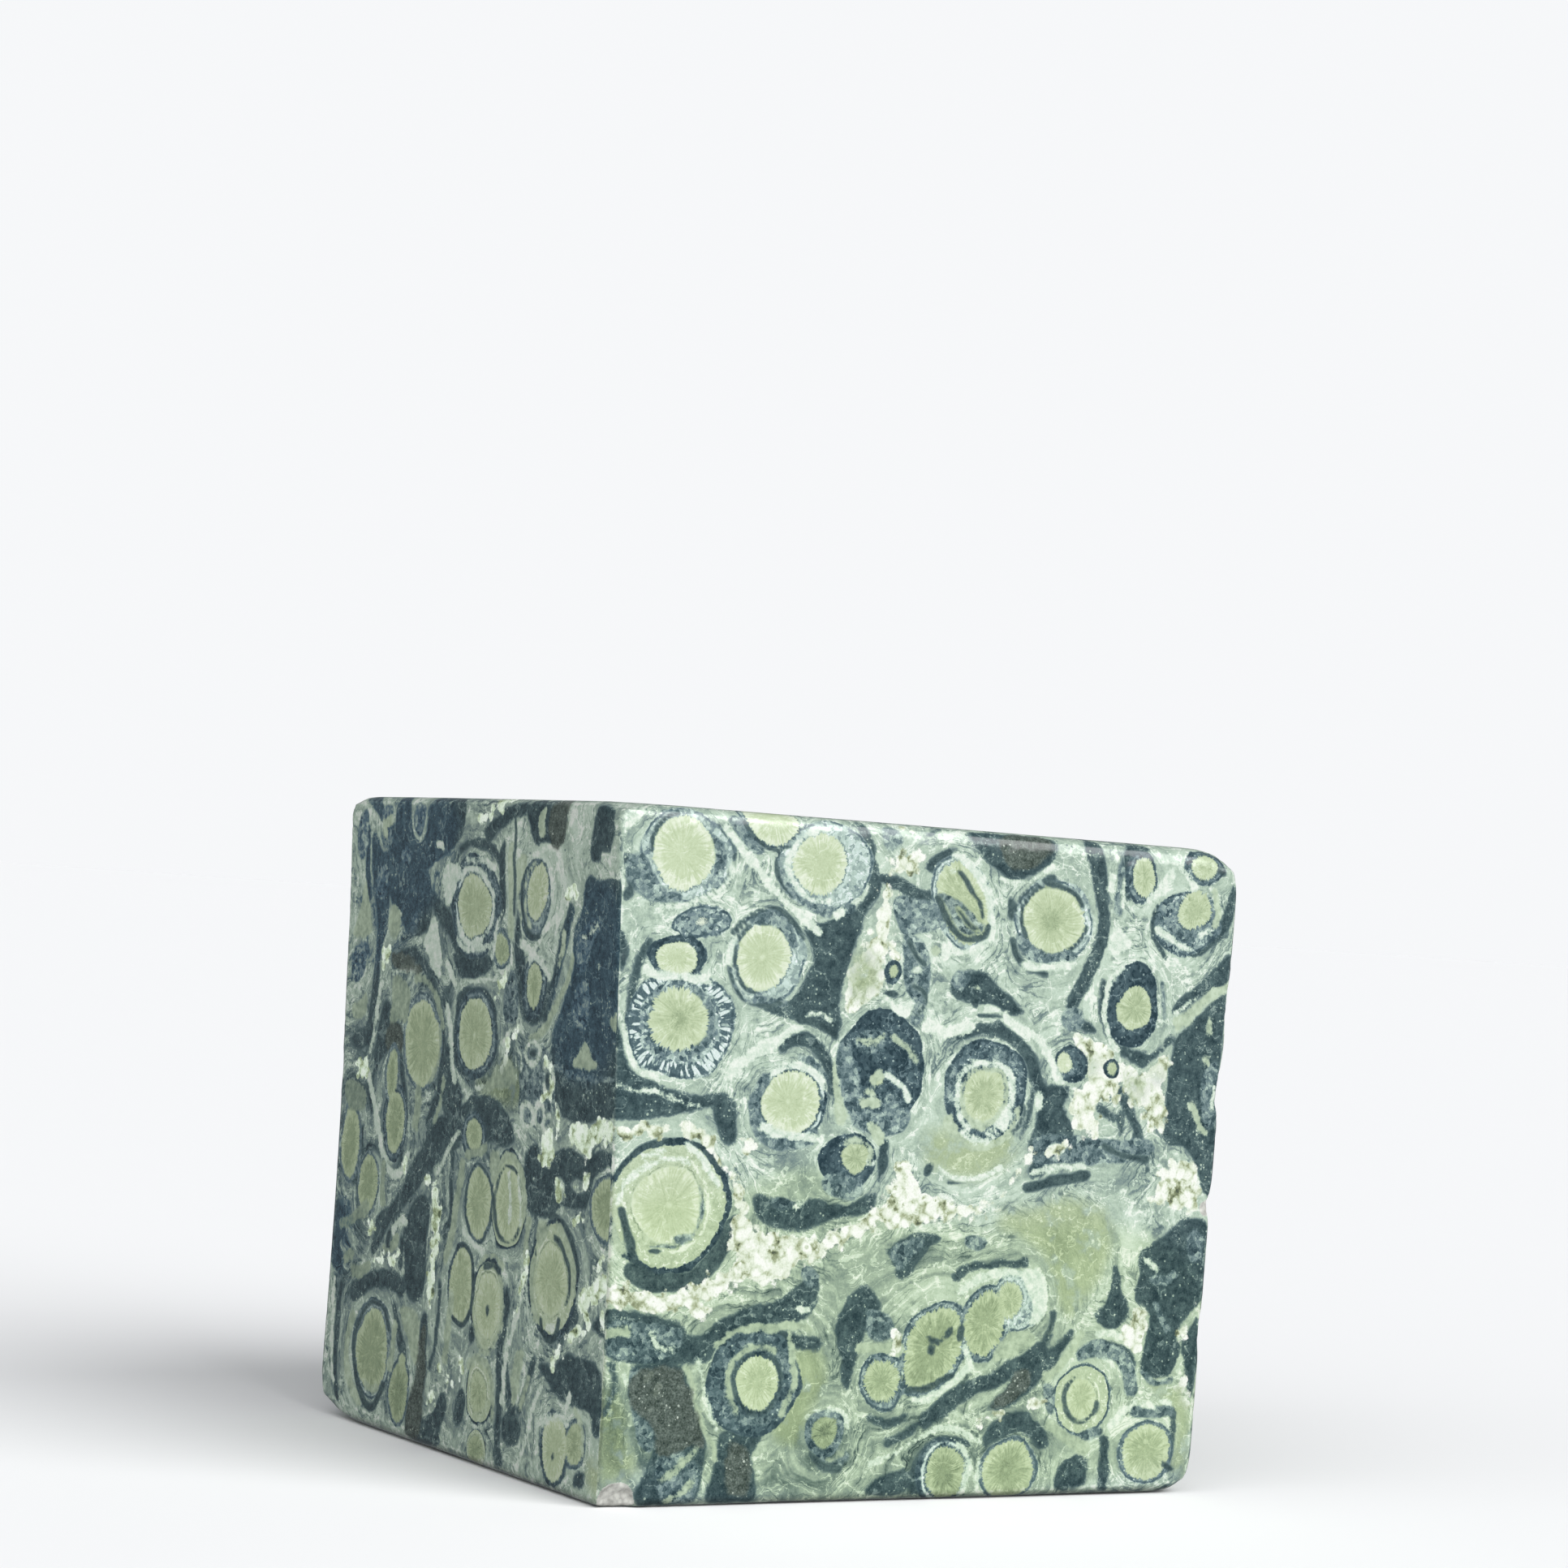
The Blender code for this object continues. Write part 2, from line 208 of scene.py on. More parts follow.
# Bright face, as (x, z)
FRONT_SHAPES = [
    patch("moss", (-28, 21.5), (-16, 22.5), (-10, 25.5), (-2, 20.5), (8, 20.5), (20, 20.5), (28, 18), (28, 0), (-28, 0)),
    # Darker matrix over the lower half: partly its own tone, partly painted shade where the light falls off towards the
    # bottom.
    patch("dim_and_shade", (-11, 27), (-8, 20.5), (-2, 20), (8, 20), (12, 17), (13, 9), (12, 0), (-28, 0), (-28, 14), (-16, 15),
          (-15, 24)),
    patch("dim_and_shade", (9, 28), (22, 28), (22, 24), (9, 23)),
    # Painted shade: the light falling off along the bottom of the bright face.
    patch("dim_and_shade", (-13, 5), (0, 7), (13, 6), (27, 4), (27, -1), (-13, -1)),
    patch("dim_and_shade", (-28, 9), (-23, 9), (-21, 4), (-21, -1), (-28, -1)),
    patch("bright", (-2.4, 16.4), (0.5, 16.6), (3.1, 15.4), (2.2, 14.4), (0, 14), (-1.2, 12.8), (-2.2, 14.4)),
    patch("bright", (18.7, 22), (20.2, 22), (19.9, 18), (19.4, 15.4), (18.9, 15.2), (19, 18.6)),
    patch("bright", (-10.4, 10.4), (-8.7, 10.6), (-8.6, 9.2), (-9.8, 9.0)),
    patch("olive", (-0.3, 27.6), (4, 27.9), (7.8, 27.6), (8.2, 26), (6.4, 24.6), (3.4, 23.9), (1, 24.6), (0, 25.8)),
    patch("olive", (9.6, 22), (12, 23), (15, 22.5), (17.4, 21.4), (17.8, 19), (17.4, 17.4), (16.2, 15.9), (15, 14.2),
          (14, 13.2), (13.2, 14.2), (12.4, 16.3), (11, 18.2), (9.4, 19.6), (6.6, 20.4), (7, 21.6)),
    patch("dim_and_shade", (11.0, 20.6), (14.2, 20.6), (14.6, 18), (11.6, 17.8)),
    patch("olive", (-11.4, 10.2), (-9.9, 12), (-8, 11.4), (-7.6, 9), (-8.6, 7.2), (-9.2, 3.5), (-12, 4.6), (-12.6, 6.4)),
    patch("olive", (-26.6, 9), (-25, 8), (-24.2, 6.4), (-23.6, 4.4), (-22.9, 3), (-23.8, 2), (-26.6, 1.2)),
    patch("olive", (-7, 41), (-5.6, 40), (-5.4, 38.6), (-6.2, 37.2), (-7.6, 37.4), (-7.8, 39.6)),
    patch("olive", (20.5, 33.1), (21.6, 32.8), (21.3, 31.9), (20.5, 32.0)),
    patch("olive", (17.8, 32.4), (19.6, 32.0), (20.2, 30.7), (18.8, 30.5)),
    patch("olive", (14.1, 33.4), (15.1, 33.3), (15, 32.4), (14.2, 32.3)),
    patch("olive", (21, 8.9), (24.6, 9.3), (26.2, 7), (26.2, 1.5), (24.8, 2), (24.8, 7)),
    patch("slate", (-12.6, 42.3), (-11, 42.6), (-8, 43.6), (-6.6, 43.4), (-7.2, 41.5), (-8.1, 39), (-8.9, 36.6),
          (-8.2, 35.3), (-8.4, 33.6), (-9.4, 34.6), (-11.2, 35.4), (-14, 35.4), (-15.6, 36.1), (-13.4, 36.2), (-11.8, 38),
          (-11.2, 40.2)),
    vein("slate", 0.8, (-7.8, 50.3), (-7.1, 48.4), (-6.5, 46.7), (-5.7, 45.4), (-6.4, 44.3), (-7.2, 43.0)),
    vein("slate", 0.7, (-5.6, 46.2), (-4.2, 45.8), (-2.3, 45.0), (-0.4, 45.1)),
    patch("slate", (-2.2, 47.0), (-1.1, 46.6), (-0.1, 47.5), (1.2, 48.5), (0.8, 48.9), (-0.6, 48.3)),
    patch("slate", (-28.6, 36.4), (-27.2, 35.4), (-26.4, 32), (-23.8, 29.9), (-20.2, 29.6), (-17.6, 30.2), (-18.4, 28.9),
          (-20.5, 28.4), (-24, 27.8), (-28.8, 27.2)),
    patch("slate", (-19.2, 28.8), (-18.3, 29.8), (-17, 29.4), (-16.6, 27.5), (-16.6, 26.2), (-17.8, 26), (-18.5, 27.3)),
    vein("slate", 0.5, (-24.8, 40.6), (-25.6, 39.4), (-26.0, 37.8), (-26.1, 36), (-26.4, 34.2)),
    patch("slate", (-27.6, 41.3), (-26.8, 41.0), (-26.4, 39.6), (-26.7, 38.4), (-27.4, 37.6)),
    vein("slate", 0.5, (-27.5, 46.4), (-26.9, 45.3), (-26.9, 44.0), (-27.3, 43.4)),
    vein("slate", 1.0, (-13.4, 33.6), (-11.6, 34.0), (-10, 33.3), (-9.0, 31.8), (-8.8, 30.2)),
    patch("slate", (-15.2, 22.2), (-14.4, 22.5), (-13.2, 22.0), (-11.4, 22.0), (-10, 22.3), (-8, 22.2), (-5, 22.6),
          (-3.4, 24), (-3.2, 27), (-4.4, 27), (-4.4, 24.6), (-4.2, 22.4), (-4.6, 21.4), (-7.6, 21.0), (-9.8, 19.9), (-11.5, 19.9),
          (-13, 20.2), (-14.6, 20.7)),
    patch("slate", (12.3, 50.8), (14.3, 50.8), (14.9, 47.6), (15.4, 45.3), (15.6, 43.5), (15.1, 41.3), (14.3, 39.4),
          (13.1, 37.7), (12.4, 36.4), (11.6, 36.2), (11.5, 37.2), (12.4, 39), (13.5, 41), (14.2, 42.6), (14.5, 44.3),
          (14.3, 45.6), (13.5, 47), (12.9, 48.6)),
    patch("slate", (12.4, 36.5), (13.8, 36.6), (15.1, 35.6), (14.2, 35.4), (12.8, 35.7)),
    patch("slate", (16.4, 50.2), (19.4, 50.3), (19, 49.2), (17.4, 48.9), (17.3, 47.4), (17.6, 46.0), (17.0, 45.2),
          (16.5, 46.5), (16.4, 48)),
    vein("slate", 1.0, (27.5, 47), (26.9, 45.2), (25.6, 43.2), (24.4, 42.2), (23.4, 42.2)),
    vein("slate", 0.4, (19.6, 43.5), (20.2, 42.6), (20.9, 41.8)),
    patch("slate", (21.9, 36.9), (22.2, 37.8), (24.1, 39.4), (26.1, 40.9), (27.8, 42.6), (27.8, 39.9), (25.9, 39.1),
          (24.4, 38.1), (23.2, 37.2)),
    patch("slate", (22.2, 35.3), (23.6, 36.4), (25.5, 38.0), (27.6, 39.6), (27.5, 36), (27, 33.5), (26.9, 31.5),
          (27.5, 28.6), (27.9, 23.4), (26.3, 23.2), (25.3, 25.3), (24, 27.2), (22.2, 26.8), (21.5, 28.6), (21.7, 30.5),
          (22.0, 32.6), (22.3, 34)),
    patch("slate", (0.9, 38.6), (1.8, 39.5), (4.2, 39.7), (5.0, 38.9), (6.6, 38.1), (8.3, 37.1), (7.8, 36.6), (6.3, 36.6),
          (4.9, 37.1), (3.7, 36.9), (2.2, 37.5), (1.3, 38.0)),
    vein("slate", 0.6, (2.0, 34.4), (4, 35.1), (5.6, 35.3)),
    vein("slate", 1.0, (5.8, 35.5), (7.4, 34.8), (8.5, 33.4), (9.5, 31.8), (10.4, 30.8)),
    patch("slate", (9.8, 31.3), (11.4, 31.6), (13.4, 31.0), (12.3, 30), (12.5, 27.8), (11.6, 27.2), (11.3, 24.6),
          (8.7, 24.2), (9.0, 26), (9.6, 28)),
    vein("slate", 0.35, (9.4, 31), (9.0, 29), (8.4, 27.2)),
    vein("slate", 0.7, (12.4, 29.0), (12.8, 28.2), (12.8, 27.6)),
    vein("slate", 0.5, (15.4, 39.4), (15.2, 37.6), (15.7, 35.6), (17.4, 34.2), (19.1, 33.3), (20.5, 34.0), (22, 35.2)),
    patch("slate", (17.0, 34.8), (18.6, 33.4), (19.4, 32.8), (20.6, 33.9), (19.6, 34.4), (18.6, 34.4)),
    patch("slate", (-28.6, 14.0), (-26.6, 14.2), (-23.4, 14.0), (-21.6, 13.4), (-20.2, 13.0), (-19.4, 11.8), (-18, 13.0),
          (-16.4, 14.0), (-14.5, 14.6), (-12.4, 14.8), (-11.1, 15.4), (-9.4, 16.9), (-8.4, 15.6), (-9.4, 13.6), (-11.9, 12.9),
          (-13.6, 12.9), (-15.6, 12.7), (-17, 11.8), (-17.8, 10.4), (-19.2, 10), (-25, 10.4), (-26.8, 11.4), (-28.6, 11.6)),
    vein("slate", 0.4, (-25.8, 10.4), (-25.6, 8.6), (-25.9, 6.8)),
    vein("slate", 0.9, (-12.6, 12.5), (-10.6, 11.9), (-8.8, 11.7)),
    patch("slate", (-24.6, 10.6), (-20.2, 10.6), (-19.5, 9.1), (-18.4, 7), (-17.2, 4.4), (-17.7, 3.2), (-17.7, 0),
          (-24, 0), (-22, 3.4), (-22, 5.6), (-24.2, 7.6)),
    patch("brown", (-23.6, 10.3), (-20.4, 10.4), (-19.5, 9.1), (-18.4, 7), (-17.2, 4.4), (-17.8, 3.8), (-19.8, 4.3),
          (-21.6, 3.8), (-21.9, 5.6), (-23, 6.5), (-24.2, 7.6), (-24.6, 9)),
    patch("slate", (-16.4, 5.6), (-14, 5.8), (-12.9, 6.9), (-11.6, 7.9), (-11.9, 6.4), (-13.4, 4.4), (-13.9, 3.3),
          (-13.2, 1.8), (-12.6, 0), (-17.6, 0), (-16.6, 3), (-16.6, 4.6)),
    patch("brown", (-15.8, 4.8), (-14.2, 4.8), (-13.9, 3), (-13.4, 0.4), (-16, 0.4)),
    patch("slate", (-3.6, 18.0), (-2.2, 19.3), (-1, 19.9), (0.6, 19.9), (2.0, 19.6), (1.0, 18.8), (0.4, 17.9), (-1.2, 16.5),
          (-2.4, 16.7), (-1.8, 17.6)),
    vein("slate", 0.6, (3.1, 16.6), (3.8, 17.2), (4.9, 17.6), (6.2, 17.4), (7.8, 17.4), (9.4, 17.9)),
    patch("slate", (-7.4, 13.0), (-6.6, 14.9), (-5.6, 15.7), (-4.5, 16.1), (-3.5, 15.1), (-3.2, 14.1), (-4, 13.3),
          (-4.5, 12), (-5.1, 10.7), (-5.3, 9.3), (-5.8, 8.3), (-6.5, 8.7), (-6.6, 10.4), (-7.2, 12)),
    vein("slate", 1.3, (11.5, 11), (9.6, 9.9), (7.8, 9.3), (5.7, 8.5), (3.4, 7.2), (1.4, 6.0)),
    vein("slate", 0.6, (1.8, 6.2), (0, 5.2), (-1.9, 4.3)),
    vein("slate", 0.6, (-3.6, 6.0), (-2, 5.9), (-0.4, 6.3)),
    patch("slate", (6.8, 6.8), (8.9, 6.9), (11, 7.8), (12.2, 9.2), (13.6, 11.0), (14.6, 12.6), (14.0, 12.7), (12.9, 11.8),
          (12.0, 11.2), (11, 10.6), (9.4, 9.3), (8.4, 8.3)),
    vein("slate", 0.5, (11.4, 11.2), (12.3, 12.4), (12.5, 13.8)),
    patch("brown", (6.8, 7), (8.9, 7.2), (11, 8), (11, 10), (9.4, 9.3), (8.4, 8.3)),
    patch("slate", (6.4, 3.4), (6.6, 4.9), (7.6, 6), (9.4, 6.8), (10.6, 6.5), (11.8, 5.8), (12.5, 5), (12.7, 3.9),
          (11.9, 3.4), (11.4, 4.1), (10.4, 4.9), (9, 4.8), (7.4, 4.4)),
    patch("slate", (0.2, 0.2), (0.3, 2.4), (1.1, 3.8), (2.4, 4.6), (3.8, 4.9), (5.0, 4.6), (5.9, 3.8), (4.6, 4.0), (3.2, 4.2),
          (2.1, 3.4), (1.6, 2.2), (1.5, 0.2)),
    patch("slate", (-3.7, 0.2), (-3.2, 1.6), (-1.6, 2), (0.4, 2.2), (0.4, 0.2)),
    patch("slate", (20.6, 18.6), (21.4, 19.3), (22.2, 19.9), (23.7, 21.2), (25.3, 21.7), (27, 21.4), (27.2, 19.6),
          (27, 14.3), (24.8, 12.8), (24.8, 10.7), (24.5, 9.1), (22.7, 9.0), (20.9, 9.0), (21.1, 11.7), (21.6, 13.6),
          (21.4, 14.6), (20.1, 14.9), (20.1, 15.9), (20.6, 17)),
    patch("slate", (17.8, 17.7), (18.6, 17.4), (18.7, 15.8), (19.7, 14.8), (19.6, 13.4), (18.4, 12.8), (16.8, 13.2),
          (16.5, 14), (17.4, 14.6), (17.8, 16)),
    patch("slate", (24.9, 13.2), (27, 14), (26.8, 7.6), (25.6, 7.6), (25.4, 9.6), (24.7, 11.4)),
    vein("slate", 0.5, (15.1, 11.0), (16.9, 11.8), (19, 11.6), (20.3, 10.5), (20.2, 8.8)),
    patch("slate", (13.2, 0.4), (13.8, 2.2), (15.1, 3.3), (16.3, 3.1), (17, 2), (17.1, 0.4)),
    vein("slate", 0.9, (18.1, 4.2), (18.3, 0.4)),
    vein("slate", 0.4, (24.5, 6.6), (24.6, 2.2)),
    # Dark stone under the top edge: partly the stone's own dark brown, partly painted shadow cast onto the face from
    # above.
    patch("slate", (1.4, 50.6), (1.8, 49.6), (2.9, 48.3), (4.2, 47.3), (5.2, 46.8), (6.8, 46.7), (8.4, 47.1), (9.6, 48.0),
          (10.4, 49.4), (10.4, 50.6)),
    patch("brown", (4.4, 50.6), (4.6, 48.6), (6.0, 47.3), (8, 47.4), (9.4, 48.4), (10.2, 49.6), (10.2, 50.6)),
    patch("cream", (-8.3, 36.2), (-8.2, 39.0), (-7.4, 40.6), (-6.6, 41.4), (-6.0, 42.4), (-5.6, 43.6), (-5.4, 45.6),
          (-4.7, 45.6), (-4.2, 44), (-4.3, 42.6), (-4.7, 41.5), (-3.8, 40.7), (-3.6, 40.2), (-5, 40.3), (-5.2, 39.0),
          (-4.6, 38.4), (-5.2, 37.7), (-6.0, 36.9), (-7, 36.2)),
    patch("cream", (-5, 47.6), (-3.6, 47.9), (-2.2, 48.6), (-1.6, 47.9), (-2.4, 47.0), (-2.6, 46.4), (-4.2, 46.6),
          (-5.2, 46.9)),
    patch("cream", (-4.0, 50.3), (-2.6, 50.3), (-2.4, 49.2), (-3.4, 49.0)),
    patch("cream", (12.1, 35.2), (13.8, 35.5), (15.6, 34.7), (17.2, 33.4), (18.6, 32.9), (20.4, 33.0), (21.4, 34.2),
          (22.2, 34.9), (22, 33), (21.6, 30), (22.3, 28.0), (21, 28.0), (19.8, 29.6), (17.8, 31), (17.5, 29.8), (15.6, 30.6),
          (15.4, 29.2), (16.3, 27.8), (13.4, 27.4), (12.7, 29.8), (12.9, 31.3), (14.2, 31.8), (14.0, 33.6)),
    vein("slate", 0.7, (17.6, 30.9), (18.6, 29.8), (19.4, 28.4), (19.3, 27.5)),
    vein("slate", 0.5, (15.8, 29.6), (17.2, 29.2)),
    vein("slate", 0.4, (17.9, 29.4), (17.7, 28.2)),
    vein("cream", 0.4, (20.4, 29.4), (20.7, 28.2)),
    vein("cream", 1.3, (-28.6, 14.8), (-26.4, 15.1), (-24.4, 15.0), (-22.2, 14.4), (-20.2, 14.7), (-18, 15.6), (-16, 16.6),
         (-13.5, 16.9), (-11.9, 16.6)),
    patch("cream", (-19.9, 14.4), (-18.4, 14.9), (-17.6, 14.6), (-18.4, 13.2), (-19.4, 13)),
    patch("cream", (-17.4, 24.2), (-16.4, 23.9), (-15.6, 22.4), (-15.3, 20.9), (-14.4, 20.3), (-13.2, 19.8), (-12, 19.5),
          (-11.2, 19.6), (-10.2, 19.2), (-9.6, 18.6), (-9.8, 17.9), (-11, 17.2), (-11.6, 16.2), (-13.4, 16.4), (-15.8, 17.3),
          (-16.6, 18.2), (-16.9, 19.4), (-16.4, 20.2), (-16.2, 21.4), (-17, 22.8)),
    vein("cream", 0.8, (-17.0, 23.6), (-18.2, 25.0), (-19.4, 26.4), (-20.6, 27.4), (-23, 27.2), (-25.6, 26.8), (-28.6, 26.9)),
    vein("cream", 0.7, (-15.7, 26.2), (-15.2, 26.0)),
    vein("cream", 1.2, (-9.6, 18.3), (-8.2, 19.0), (-6.8, 19.7), (-5.2, 20.6), (-3.4, 21.4)),
    patch("cream", (-2.7, 25.4), (-1.5, 25.3), (-0.8, 24.2), (-0.1, 23.2), (1.4, 22.6), (3.4, 22.0), (5.6, 22.4), (6.8, 23.2),
          (7.4, 24), (8.2, 23.8), (7.2, 22.4), (5.4, 21.2), (3, 20.8), (0.4, 20.8), (-2.4, 20.4), (-4.6, 20.2), (-4.2, 21.6),
          (-3.0, 23.2)),
    vein("cream", 0.5, (7.6, 23.7), (8.4, 24.6), (9.5, 26.0)),
    vein("cream", 0.9, (11.4, 26.2), (12.4, 26.6)),
    patch("cream", (19.0, 13.2), (19.9, 14.3), (21.4, 14.5), (21.5, 13.2), (20.9, 11.2), (20.3, 10.6), (19.9, 11.2),
          (19.1, 12.2)),
    patch("cream", (21.9, 25.2), (22.6, 25.6), (23.4, 26.4), (24.6, 26.2), (25.5, 24.6), (25.8, 22.4), (24.6, 22.2),
          (22, 22.4), (20.6, 22.8), (21.9, 23.6)),
    patch("cream", (-2.4, 12.5), (-1.3, 12.6), (-1.1, 11), (-2.2, 10.8)),
    patch("cream", (10.6, 7.0), (11.4, 7.8), (12.3, 7.3), (12.2, 6.5), (11.2, 6.4)),
    vein("cream", 0.25, (6, 5.6), (7, 6.2), (8.4, 6.7)),
    vein("cream", 0.7, (25.3, 8.8), (25.7, 7.0)),
    vein("cream", 0.5, (24.6, 12), (25.4, 13.2), (26.6, 14.4)),
    patch("grey", (-27.3, 46.5), (-26.2, 46.9), (-25.4, 46.2), (-25.2, 45.1), (-24.2, 44.4), (-22.6, 44.2),
          (-22.8, 43.4), (-25, 43.3), (-26.8, 43.9), (-27.4, 45)),
    patch("grey", (-20.9, 48.7), (-19.8, 48.3), (-19.2, 47), (-19.3, 45.6), (-20, 45.1), (-20.1, 46.6), (-20.4, 47.8)),
    arc("ink", 0.22, (-22.3, 46.7), (3.75, 3.35), -95, 50),
    vein("ink", 0.3, (-25.4, 46.9), (-25.2, 48), (-24.4, 49.1), (-23.3, 49.6)),
    vein("grey", 1.0, (-18.6, 49.8), (-17.8, 48.6), (-16.6, 47.6)),
    vein("ink", 0.2, (-18.0, 50.2), (-17.5, 49), (-16.3, 47.9), (-15.2, 47.6), (-13.8, 48.2)),
    vein("grey", 0.6, (-14.6, 46.6), (-14.4, 45.8), (-13.8, 44.9), (-12.4, 44.1)),
    arc("ink", 0.2, (-11.0, 46.75), (3.85, 3.2), 165, 235),
    arc("pale", 0.35, (-11.1, 46.8), (2.75, 2.6), 80, 290),
    patch("grey", (-12.8, 44.2), (-10.4, 43.9), (-7.6, 44.3), (-7.4, 43.4), (-9.6, 42.8), (-12, 43.2)),
    vein("pale", 0.6, (-9.5, 43.2), (-8.9, 43.4)),
    vein("pale", 0.45, (-27.8, 48.2), (-26.4, 49.6), (-24.6, 50.3)),
    vein("pale", 0.55, (-19.4, 49.2), (-18.2, 47.6), (-16.4, 45.9), (-14.6, 44.4), (-12.6, 42.9), (-11, 42.0)),
    vein("pale", 0.3, (-18.6, 46.4), (-18.9, 44.8), (-20.6, 43.7), (-24.4, 42.9)),
    arc("pale", 0.5, (-15.4, 39.6), (3.0, 3.0), 130, 250),
    arc("ink", 0.22, (-15.5, 39.65), (2.5, 2.55), 120, 270),
    patch("grey", (-17.3, 42.4), (-16, 43.2), (-14, 43), (-12.9, 41.8), (-12.7, 40.4), (-13.4, 40.6), (-14.2, 41.6),
          (-16, 41.9)),
    arc("ink", 0.25, (-15.2, 39.7), (3.4, 3.5), 30, 150),
    patch("grey", (-16.4, 37.0), (-14.8, 36.9), (-13.4, 37.1), (-12.6, 36.6), (-14, 36.0), (-15.6, 36.1)),
    arc("ink", 0.2, (-15.2, 39.6), (3.3, 3.5), 190, 300),
    vein("pale", 0.5, (-25.3, 38.3), (-23.8, 38.0), (-22, 38.1), (-20, 38.1)),
    patch("pale", (-25.4, 38.5), (-23.6, 38.2), (-24.4, 37.4)),
    arc("grey", 0.45, (-22.05, 34.95), (2.75, 2.6), -60, 60),
    arc("pale", 0.3, (-22.0, 34.6), (4.75, 4.35), 175, 250),
    vein("pale", 0.7, (-17.6, 31.2), (-15.6, 32.8), (-13.4, 34.2), (-11.6, 34.9)),
    vein("ink", 0.5, (-12.0, 35.3), (-10.4, 35.1), (-8.8, 34.5)),
    vein("pale", 0.25, (-11.2, 35.6), (-10.2, 35.9), (-9.3, 35.5)),
    patch("mint", (-8.7, 33), (-8.2, 31.6), (-7.2, 29.4), (-7.4, 28.0), (-8.4, 28.0), (-8.9, 30.6)),
    patch("grey", (-12.2, 33.0), (-10.4, 32.6), (-9.2, 31.2), (-9.4, 30.2), (-10.2, 31.4), (-11.6, 32.1)),
    vein("pale", 0.12, (-27, 30.1), (-24.6, 29.7), (-22, 29.2), (-20, 28.9)),
    arc("pale", 0.35, (-12.3, 29.3), (2.9, 2.9), 20, 150),
    arc("grey", 0.9, (-12.4, 29.1), (3.0, 2.95), 140, 320),
    vein("pale", 0.5, (-14.6, 27.4), (-12.4, 26.7), (-10, 27.0)),
    patch("grey", (-6.2, 49.9), (-4.6, 50.0), (-3.8, 48.9), (-4.6, 48.2), (-5.6, 48.2)),
    patch("grey", (-4.6, 45.3), (-2.3, 44.8), (-0.5, 44.6), (0.3, 43.0), (-0.6, 42.4), (-2.2, 42.2), (-3.4, 42.0),
          (-4.2, 43.4)),
    patch("grey", (-3.6, 42.2), (-2, 42), (-1.2, 41), (-0.8, 39.6), (-1.0, 38), (-0.9, 36.2), (-1.8, 35.2), (-2.4, 35.8),
          (-2.2, 37), (-3.0, 38.2), (-3.4, 39.8)),
    vein("ink", 0.25, (-2.9, 41.6), (-2.2, 40.6), (-1.4, 39.9)),
    vein("ink", 0.25, (-2.2, 38.4), (-1.3, 37.8), (-1.1, 36.8), (-1.8, 36.2)),
    vein("pale", 0.35, (-2.2, 39.5), (-1.9, 39.5)),
    patch("ink", (-5.1, 37.6), (-4.4, 38.1), (-3.5, 37.9), (-3.4, 37.5), (-4.4, 37.3)),
    arc("pale", 0.35, (-4.2, 39.5), (1.0, 1.1), 50, 150),
    vein("pale", 0.45, (-4.6, 37.2), (-3.5, 36.4), (-2.8, 36.2), (-2.5, 36.9)),
    patch("pale", (-1.1, 42.0), (0.4, 41.8), (1.2, 40.8), (0.4, 40.0), (-0.9, 40.1)),
    patch("mint", (-1.0, 41.4), (0, 41.4), (0, 40.4), (-0.9, 40.4)),
    vein("pale", 0.6, (1.0, 48.0), (2.6, 47.3), (3.9, 45.7), (4.6, 43.6), (4.4, 41.9), (3.2, 41.0), (1.6, 40.9)),
    patch("grey", (-0.8, 45.4), (0.3, 45.2), (1.5, 44.6), (2.4, 44.1), (3.2, 43.4), (4.2, 43.3), (4.4, 42.5), (3.4, 41.6),
          (1.6, 41.8), (0.5, 42.6), (-0.5, 44.2)),
    vein("ink", 0.4, (-0.6, 44.9), (0.3, 43.3), (1.3, 42.4), (2.8, 42.0), (4.0, 42.2), (4.2, 43.0)),
    vein("ink", 0.2, (0.9, 44.2), (2.2, 43.2), (3.2, 42.8)),
    vein("ink", 0.3, (1.3, 46.9), (2.4, 45.8), (3.2, 44.8), (3.6, 43.8)),
    vein("pale", 0.25, (0.5, 46.9), (0.9, 46.9)),
    vein("ink", 0.4, (6.2, 45.4), (6.25, 44.0)),
    arc("ink", 0.28, (10.25, 43.95), (3.1, 2.7), 30, 215),
    arc("ink", 0.2, (10.25, 43.95), (3.1, 2.68), 235, 350),
    arc("ink", 0.18, (10.25, 43.85), (3.8, 3.25), 95, 175),
    vein("ink", 0.45, (6.3, 42.2), (6.9, 41.1), (8.0, 40.4), (9.8, 39.7)),
    vein("grey", 0.8, (7.0, 42.4), (8.0, 41.5), (9.8, 41.0), (12, 41.1)),
    vein("pale", 0.45, (7.7, 40.6), (9.4, 40.2), (12.2, 40.6)),
    vein("pale", 0.3, (4.9, 46.9), (6.6, 46.5), (8.4, 46.85), (9.7, 47.8)),
    patch("grey", (0.9, 39.0), (2, 39.7), (3.2, 39.4), (2.8, 38.2), (1.6, 38.2)),
    patch("mint", (3.1, 38.5), (3.6, 38.7), (3.9, 38.2), (3.4, 38.0)),
    patch("ink", (3.0, 37.8), (3.9, 37.8), (3.7, 36.7), (3.3, 36.8)),
    patch("pale", (4.1, 37.1), (5.7, 37.0), (5.8, 36.4), (4.6, 36.1), (3.9, 36.4)),
    vein("ink", 0.2, (3.7, 36.1), (5.3, 36.2), (7.2, 36.8)),
    vein("pale", 0.55, (6.3, 36.5), (8.7, 35.4), (10.1, 33.9), (11.7, 31.7)),
    vein("pale", 0.9, (-0.8, 35.3), (1, 34.7), (2.8, 35.2)),
    arc("mint", 0.5, (4.85, 30.3), (2.25, 2.2), 0, 360),
